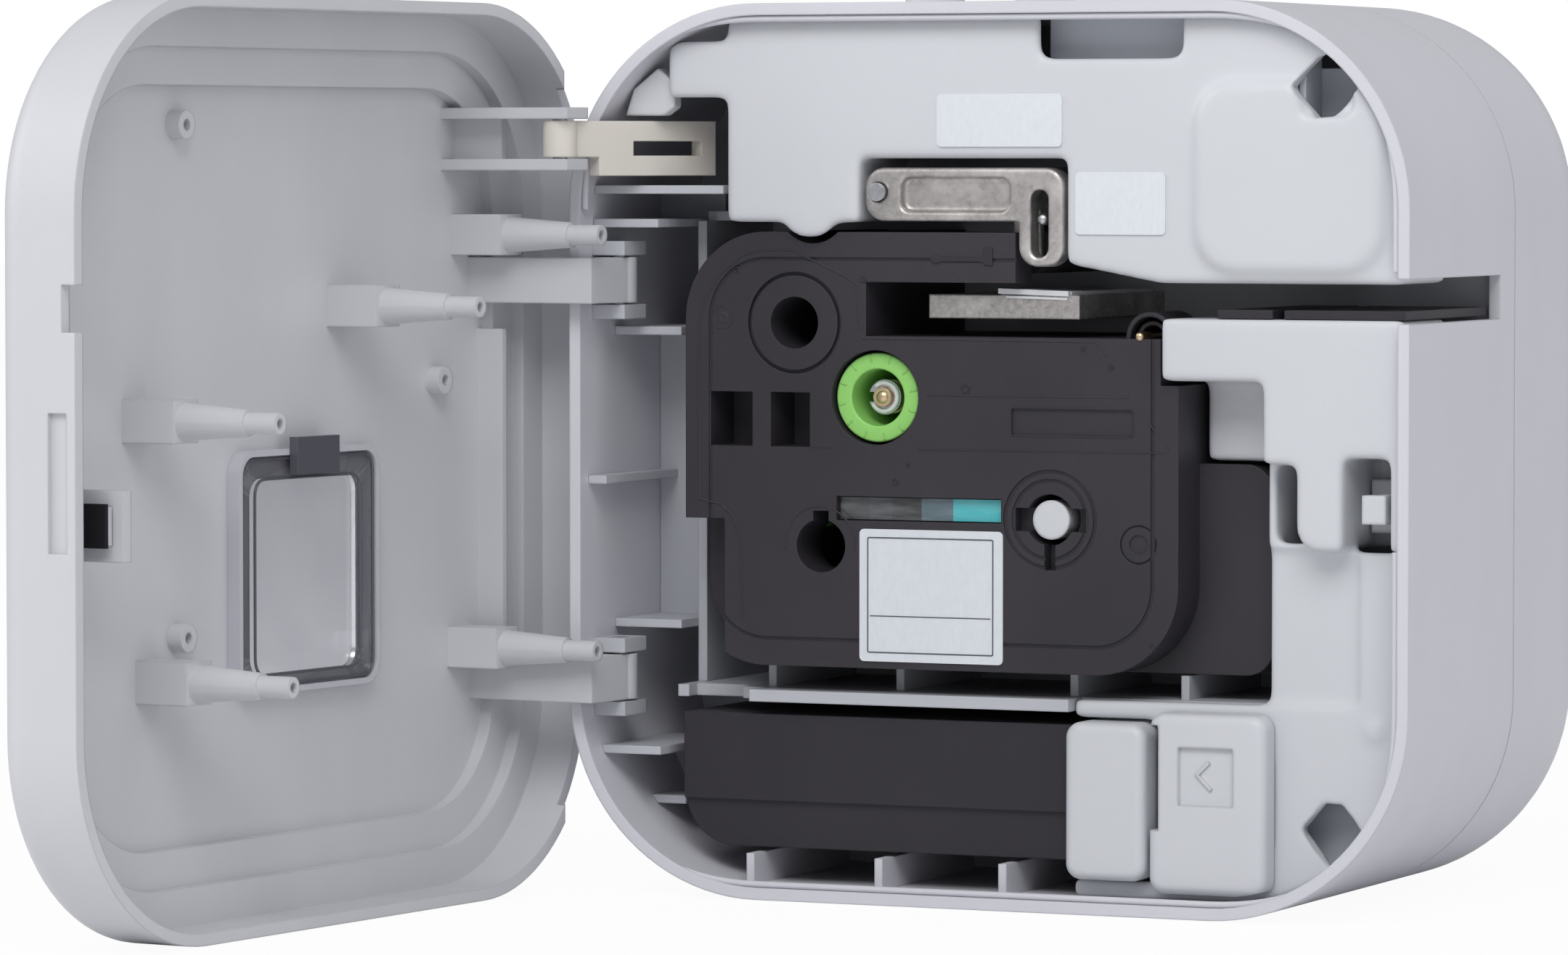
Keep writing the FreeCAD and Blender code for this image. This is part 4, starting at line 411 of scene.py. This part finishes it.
def stud(name, body, slot, across, up, radius, behind):
    """A round pin end with a domed nose, pointing forward."""
    profile = [(0.001, behind[0]), (radius * 0.5, behind[0] + radius * 0.08),
               (radius * 0.87, behind[0] + radius * 0.35), (radius, behind[0] + radius * 0.7), (radius, behind[1])]
    made, rings = revolved(across, up, profile, 32, False)
    made.faces.new([ring[0] for ring in rings])
    made.faces.new([ring[-1] for ring in rings])
    bmesh.ops.recalc_face_normals(made, faces=made.faces)
    for face in made.faces:
        face.smooth = True
    return settle(name, as_mesh(name, made), body, slot)


# ---------------------------------------------------------------- body
OPENING_HALF, OPENING_LOW, OPENING_HIGH = 72.0, 2.0, 146.0   # the front shell's opening
LIP = 0.55                                                   # radius of the lip's bead
LIP_BEHIND = 0.9
LIP_CORNER = 31.5
# Each corner of the housing is filled, then cut by a square hole that stands on its corner.
UPPER_CORNER = [(54.5, 128.8), (64.3, 128.8), (64.3, 133.2), (62.0, 136.4), (58.6, 139.2), (54.5, 139.2)]
UPPER_HOLE = [(53.3, 134.0), (57.6, 129.0), (60.2, 129.2), (64.4, 133.7), (58.6, 139.3)]
LOWER_CORNER = [(54.5, 18.7), (64.3, 18.7), (64.3, 14.2), (61.6, 11.4), (58.6, 8.8), (54.5, 8.8)]
LOWER_HOLE = [(53.2, 14.6), (57.9, 8.4), (63.6, 14.0), (60.0, 18.6), (57.0, 18.8)]


def rim_beads():
    """The fine lip inside the front shell's opening, broken at the tape's way out and beside the hinge."""
    half, low, high = OPENING_HALF - LIP, OPENING_LOW + LIP, OPENING_HIGH - LIP
    corners = [(-half, low), (half, low), (half, high), (-half, high)]
    path = rounded_path(corners, LIP_CORNER, LIP_BEHIND, 24)
    middle, clear_of_door = len(path) // 2, 10
    below_exit, above_exit = (half, LIP_BEHIND, 60.0), (half, LIP_BEHIND, 104.4)
    bead("rim_lip_low", "body", "shell_plastic", path[clear_of_door:middle] + [below_exit], LIP)
    bead("rim_lip_high", "body", "shell_plastic", [above_exit] + path[middle:], LIP)


def housing_skins():
    softened("housing_top", "body", 0.6, 22, (UPPER_CORNER, (3.0, 5.0)), (UPPER_HOLE, (-1.0, 12.0)))
    softened("housing_side", "body", 0.6, 18, (LOWER_CORNER, (8.0, 10.6)), (LOWER_HOLE, (3.0, 15.0)))


def bay_details():
    """The cassette's side clip and the stay's guide tab."""
    clip = [(-56.6, 64.1), (-54.6, 64.1), (-54.6, 65.0), (-55.7, 65.6), (-55.7, 74.0), (-54.6, 74.6),
            (-54.6, 75.6), (-56.6, 75.6)]
    slab("bay_clip", "body", "housing_plastic", clip, (12.0, 20.0), 0.2)
    tab = [(-66.0, 129.6), (-59.0, 129.6), (-57.0, 131.0), (-57.0, 135.0), (-60.0, 137.5), (-64.5, 134.0)]
    slab("stay_tab", "body", "housing_plastic", tab, (5.0, 8.0), 0.3)


# ---------------------------------------------------------------- cassette
BORDER = [(-44.6, 46.5), (-44.6, 57.4), (-45.2, 60.3), (-46.3, 63.3), (-48.5, 65.2), (-52.3, 65.9),
          (-52.5, 94.2),
          (-51.5, 98.7), (-48.7, 103.2), (-44.3, 106.5), (-41.1, 107.3), (-35.6, 107.4), (-25.8, 103.1),
          (-23.6, 101.6), (-23.4, 94.0), (-22.6, 92.9), (18.4, 92.8), (20.5, 90.5)]


def cassette_details():
    """Border and crease lines, small pins, the tape clip and the printed frame of the blank label."""
    face = COVER_FACE
    line = face + 0.02
    lines = (("cassette_border", BORDER, 0.16),
             ("cassette_crease_high", [(-11.2, 83.7), (24.4, 83.8), (31.2, 75.6)], 0.14),
             ("cassette_crease_low", [(-12.9, 74.8), (30.8, 74.9)], 0.14),
             ("cassette_crease_left", [(-32.1, 74.9), (-28.4, 74.8)], 0.12))
    for name, pairs, radius in lines:
        bead(name, "cassette", "cassette_plastic", on_face(pairs, line), radius)
    bead("keyhole_ring", "cassette", "cassette_plastic", circle(-30.4, 58.9, 6.2, line, -10, 190), 0.14)
    bead("plate_rim", "cassette", "cassette_plastic",
         rounded_path([(3.6, 77.3), (25.1, 77.3), (25.1, 81.9), (3.6, 81.9)], 0.5, line), 0.14, True)
    pins = [(-45.6, 104.0, 0.55), (-22.6, 102.6, 0.6), (-4.3, 84.9, 0.85), (-16.8, 69.4, 0.6),
            (-14.6, 72.2, 0.35), (16.3, 91.6, 0.5), (21.2, 88.7, 0.5), (28.6, 43.6, 0.6)]
    for number, (across, up, radius) in enumerate(pins):
        tube("cassette_pin_ring_%d" % number, "cassette", "black_plastic", across, up, (radius, radius * 0.45),
             (face - 0.12, face + 0.3), 24)
    tube("cassette_small_ring", "cassette", "cassette_plastic", -48.1, 96.1, (2.0, 1.75),
         (face - 0.08, face + 0.2), 32)
    tube("cassette_small_core", "cassette", "cassette_plastic", -48.1, 96.1, (1.1, 0.2),
         (face - 0.06, face + 0.2), 24)
    clip = [(-10.6, 105.6), (-9.6, 105.2), (-8.8, 105.6), (-1.4, 105.6), (-1.0, 105.0), (0.4, 105.0),
            (0.4, 107.9), (-1.2, 107.9), (-1.2, 106.4), (-8.8, 106.4), (-9.6, 106.8), (-10.6, 106.4)]
    slab("tape_clip", "cassette", "black_plastic", clip, (face - 0.25, face + 0.1), 0.12)
    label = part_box("cassette_sticker")
    left, right = label[0].x / MM + 1.5, label[1].x / MM - 1.7
    low, high = label[0].z / MM + 1.5, label[1].z / MM - 1.4
    label_face = label[0].y / MM - RIM
    frame_path = rounded_path([(left, low), (right, low), (right, high), (left, high)], 0.3, label_face)
    bead("label_frame", "cassette", "print_grey", frame_path, 0.12, True)
    rule = [(left + 0.4, low + 6.0), (right - 0.4, low + 6.0)]
    bead("label_rule", "cassette", "print_grey", on_face(rule, label_face), 0.1)


def feed_roller():
    """The black tube and its gold pin at the end of the print head's slot, which stand on the body."""
    tube("feed_tube", "body", "black_plastic", 27.6, 93.6, (4.1, 3.3), (5.6, 18.0))
    tube("feed_inner", "body", "black_plastic", 27.4, 93.6, (2.7, 1.9), (7.4, 18.0))
    stud("feed_pin", "body", "brass", 26.1, 93.7, 0.75, (4.6, 18.0))


def take_up_details():
    """The green spool with its shallow drive marks, and the bright open ring on its shaft."""
    low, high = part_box("take_up_spool")
    across, up = (low.x + high.x) / 2 / MM, (low.z + high.z) / 2 / MM
    front, back = low.y / MM - RIM, high.y / MM - RIM
    ring = tube("take_up_ring", "take_up_spool", "green_plastic", across, up, (7.35, 4.7), (front, back), 96)
    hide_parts("take_up_spool")
    for number in range(12):
        angle = 2 * math.pi * (number + 0.35) / 12
        ends = [(across + r * math.cos(angle), front - 0.02, up + r * math.sin(angle)) for r in (5.9, 7.1)]
        bead("take_up_mark_%d" % number, "take_up_spool", "green_plastic", ends, 0.16)
    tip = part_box("take_up_shaft")[0].y / MM - RIM
    bead("shaft_ring", "take_up", "ceramic", circle(across, up, 2.3, tip + 1.0, -150, 130, 32), 0.42)
    stud("shaft_nose", "take_up", "brass", across, up, 1.25, (tip - 0.4, tip + 0.5))


def hole_liners():
    """The pale moulding seen inside the housing's corner holes and top recess."""
    liners = (("upper_hole_liner", [(53.0, 127.0), (62.0, 127.0), (62.0, 137.0), (53.0, 137.0)],
               (13.0, 14.0), 0.2),
              ("upper_hole_wall", [(53.2, 127.5), (54.4, 127.5), (54.4, 140.0), (53.2, 140.0)], (5.5, 13.0),
               0.1),
              ("lower_hole_liner", [(50.0, 8.0), (60.0, 8.5), (63.0, 12.0), (63.0, 21.0), (50.0, 21.0)],
               (16.0, 17.0), 0.2),
              ("top_recess_liner", [(8.5, 137.6), (34.8, 137.6), (34.8, 145.4), (8.5, 145.4)], (9.6, 10.6),
               0.2))
    for name, outline, behind, edge in liners:
        slab(name, "body", "grey_liner", outline, behind, edge)


# ---------------------------------------------------------------- lever
def lever_details():
    """The bright guide pin in the lever's slot and two pale strips along the rim of its bar."""
    softened("platen_lever", "lever", 0.32, 5)
    stud("lever_guide_pin", "body", "steel", 8.8, 112.6, 0.95, (5.2, 9.0))
    head_low, head_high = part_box("print_head")
    strip_y = head_low.y / MM - RIM - 0.4
    # Two pale strips laid along the rim, just in front of the print head.
    outline = [(-0.2, 100.4), (12.2, 100.0), (12.2, 100.9), (-0.2, 101.3)]
    slab("head_strip", "body", "ceramic", outline, (strip_y, strip_y + 6), 0.08)
    lower = [(1.2, 99.7), (12.0, 99.4), (12.0, 99.8), (1.2, 100.1)]
    slab("head_strip_low", "body", "ceramic", lower, (strip_y, strip_y + 4), 0.05)


# ---------------------------------------------------------------- door
DOOR_TURN = Matrix.Translation(HINGE) @ Matrix.Rotation(-DOOR_ANGLE, 4, "Z") @ Matrix.Translation(-HINGE)


def opened(points):
    """Points given on the closed door, turned with it to where it stands open."""
    turned = [DOOR_TURN @ Vector((across * MM, (RIM + behind) * MM, up * MM)) for across, behind, up in points]
    return [(point.x / MM, point.y / MM - RIM, point.z / MM) for point in turned]


def door_details():
    """Dark lines round the window and a near-black slab as painted shade in the catch's slot, placed on the closed
    door.
    """
    floor = -13.2                          # the door's inner face when it is closed
    edge = rounded_path([(-20.4, 39.8), (9.8, 39.8), (9.8, 71.2), (-20.4, 71.2)], 3.0, floor + 1.75)
    bead("window_frame_line", "door", "smoke_rim", opened(edge), 0.24, True)
    outer = rounded_path([(-24.0, 38.2), (13.4, 38.2), (13.4, 74.4), (-24.0, 74.4)], 3.0, floor + 1.8)
    bead("window_flange_line", "door", "smoke_rim", opened(outer), 0.24, True)
    shade = [(66.4, 63.2), (67.2, 63.2), (67.2, 70.0), (66.4, 70.0)]
    # painted shade: this near-black slab stands for the shade inside the catch's slot
    slab("catch_shade", "door", "painted_shade_black", shade, (-5.4, 0.6), 0.1).data.transform(DOOR_TURN)


def build_details():
    rim_beads()
    housing_skins()
    bay_details()
    cassette_details()
    feed_roller()
    lever_details()
    take_up_details()
    hole_liners()
    door_details()


# ---------------------------------------------------------------- camera, light and floor
CAMERA_PLACE = (0.4587, -1.1377, 0.123)
LENS = 166.8
LOOK_DOWN, LOOK_LEFT = 2.54, 24.4          # degrees


def make_camera():
    """A long lens a little to the right of the body, nearly level with the top of the cassette."""
    data = bpy.data.cameras.new("camera")
    data.sensor_width, data.lens = 36, LENS
    data.clip_start, data.clip_end = 0.05, 20
    camera = bpy.data.objects.new("camera", data)
    bpy.context.scene.collection.objects.link(camera)
    camera.location = CAMERA_PLACE
    camera.rotation_euler = (math.radians(90 - LOOK_DOWN), 0, math.radians(LOOK_LEFT))
    bpy.context.scene.camera = camera


def area_light(name, place, target, size, watts, colour=(1, 1, 1)):
    data = bpy.data.lights.new(name, "AREA")
    data.shape, data.size, data.size_y = "RECTANGLE", size[0], size[1]
    data.energy, data.color = watts, colour
    light = bpy.data.objects.new(name, data)
    bpy.context.scene.collection.objects.link(light)
    light.location = place
    light.rotation_euler = (Vector(target) - Vector(place)).to_track_quat("-Z", "Y").to_euler()


def make_world(level):
    """An even pale surround that shows white to the camera."""
    world = bpy.data.worlds.new("studio")
    world.use_nodes = True
    tree = world.node_tree
    tree.nodes.clear()
    output = tree.nodes.new("ShaderNodeOutputWorld")
    path = tree.nodes.new("ShaderNodeLightPath")
    lit, seen = tree.nodes.new("ShaderNodeBackground"), tree.nodes.new("ShaderNodeBackground")
    lit.inputs[0].default_value, lit.inputs[1].default_value = (0.96, 0.97, 1.0, 1), level
    seen.inputs[0].default_value, seen.inputs[1].default_value = (1, 1, 1, 1), 1.0
    mix = tree.nodes.new("ShaderNodeMixShader")
    tree.links.new(path.outputs["Is Camera Ray"], mix.inputs[0])
    tree.links.new(lit.outputs[0], mix.inputs[1])
    tree.links.new(seen.outputs[0], mix.inputs[2])
    tree.links.new(mix.outputs[0], output.inputs[0])
    bpy.context.scene.world = world


def make_floor():
    """A wide pale floor under the base."""
    mesh = bpy.data.meshes.new("floor")
    side = 6.0
    mesh.from_pydata([(-side, -side, 0), (side, -side, 0), (side, side, 0), (-side, side, 0)], [],
                     [(0, 1, 2, 3)])
    floor = bpy.data.objects.new("floor", mesh)
    bpy.context.scene.collection.objects.link(floor)
    floor.location.z = -0.0002
    made = Shader("floor_finish")
    grain = made.noise(30, 4)
    made.set(Base_Color=made.blend(made.spread(grain, 0.3, 0.7), (0.93, 0.93, 0.94), (0.9, 0.9, 0.91)),
             Roughness=0.6)
    glow = made.add("ShaderNodeEmission")
    glow.inputs["Color"].default_value = (1, 1, 1, 1)
    glow.inputs["Strength"].default_value = 1.0
    path = made.add("ShaderNodeLightPath")
    mix = made.add("ShaderNodeMixShader")
    share = made.add("ShaderNodeMath", operation="MULTIPLY")
    made.join(path.outputs["Is Camera Ray"], share.inputs[0])
    share.inputs[1].default_value = 0.95       # the rest shows the object's shadow
    made.join(share.outputs[0], mix.inputs[0])
    made.join(made.surface.outputs[0], mix.inputs[1])
    made.join(glow.outputs[0], mix.inputs[2])
    made.join(mix.outputs[0], made.output.inputs["Surface"])
    floor.data.materials.append(made.material)


def make_light():
    make_world(0.44)
    area_light("key", (0.35, -1.3, 1.3), (0, 0, 0.07), (1.4, 0.9), 17)
    area_light("left_fill", (-1.3, -0.7, 0.7), (0, 0, 0.08), (1.0, 1.0), 7)
    area_light("right_fill", (1.5, -0.1, 0.5), (0, 0, 0.08), (0.9, 1.0), 2.2)
    bpy.context.scene.view_settings.view_transform = "Standard"


finish_cad_nodes()
build_details()
make_camera()
make_floor()
make_light()
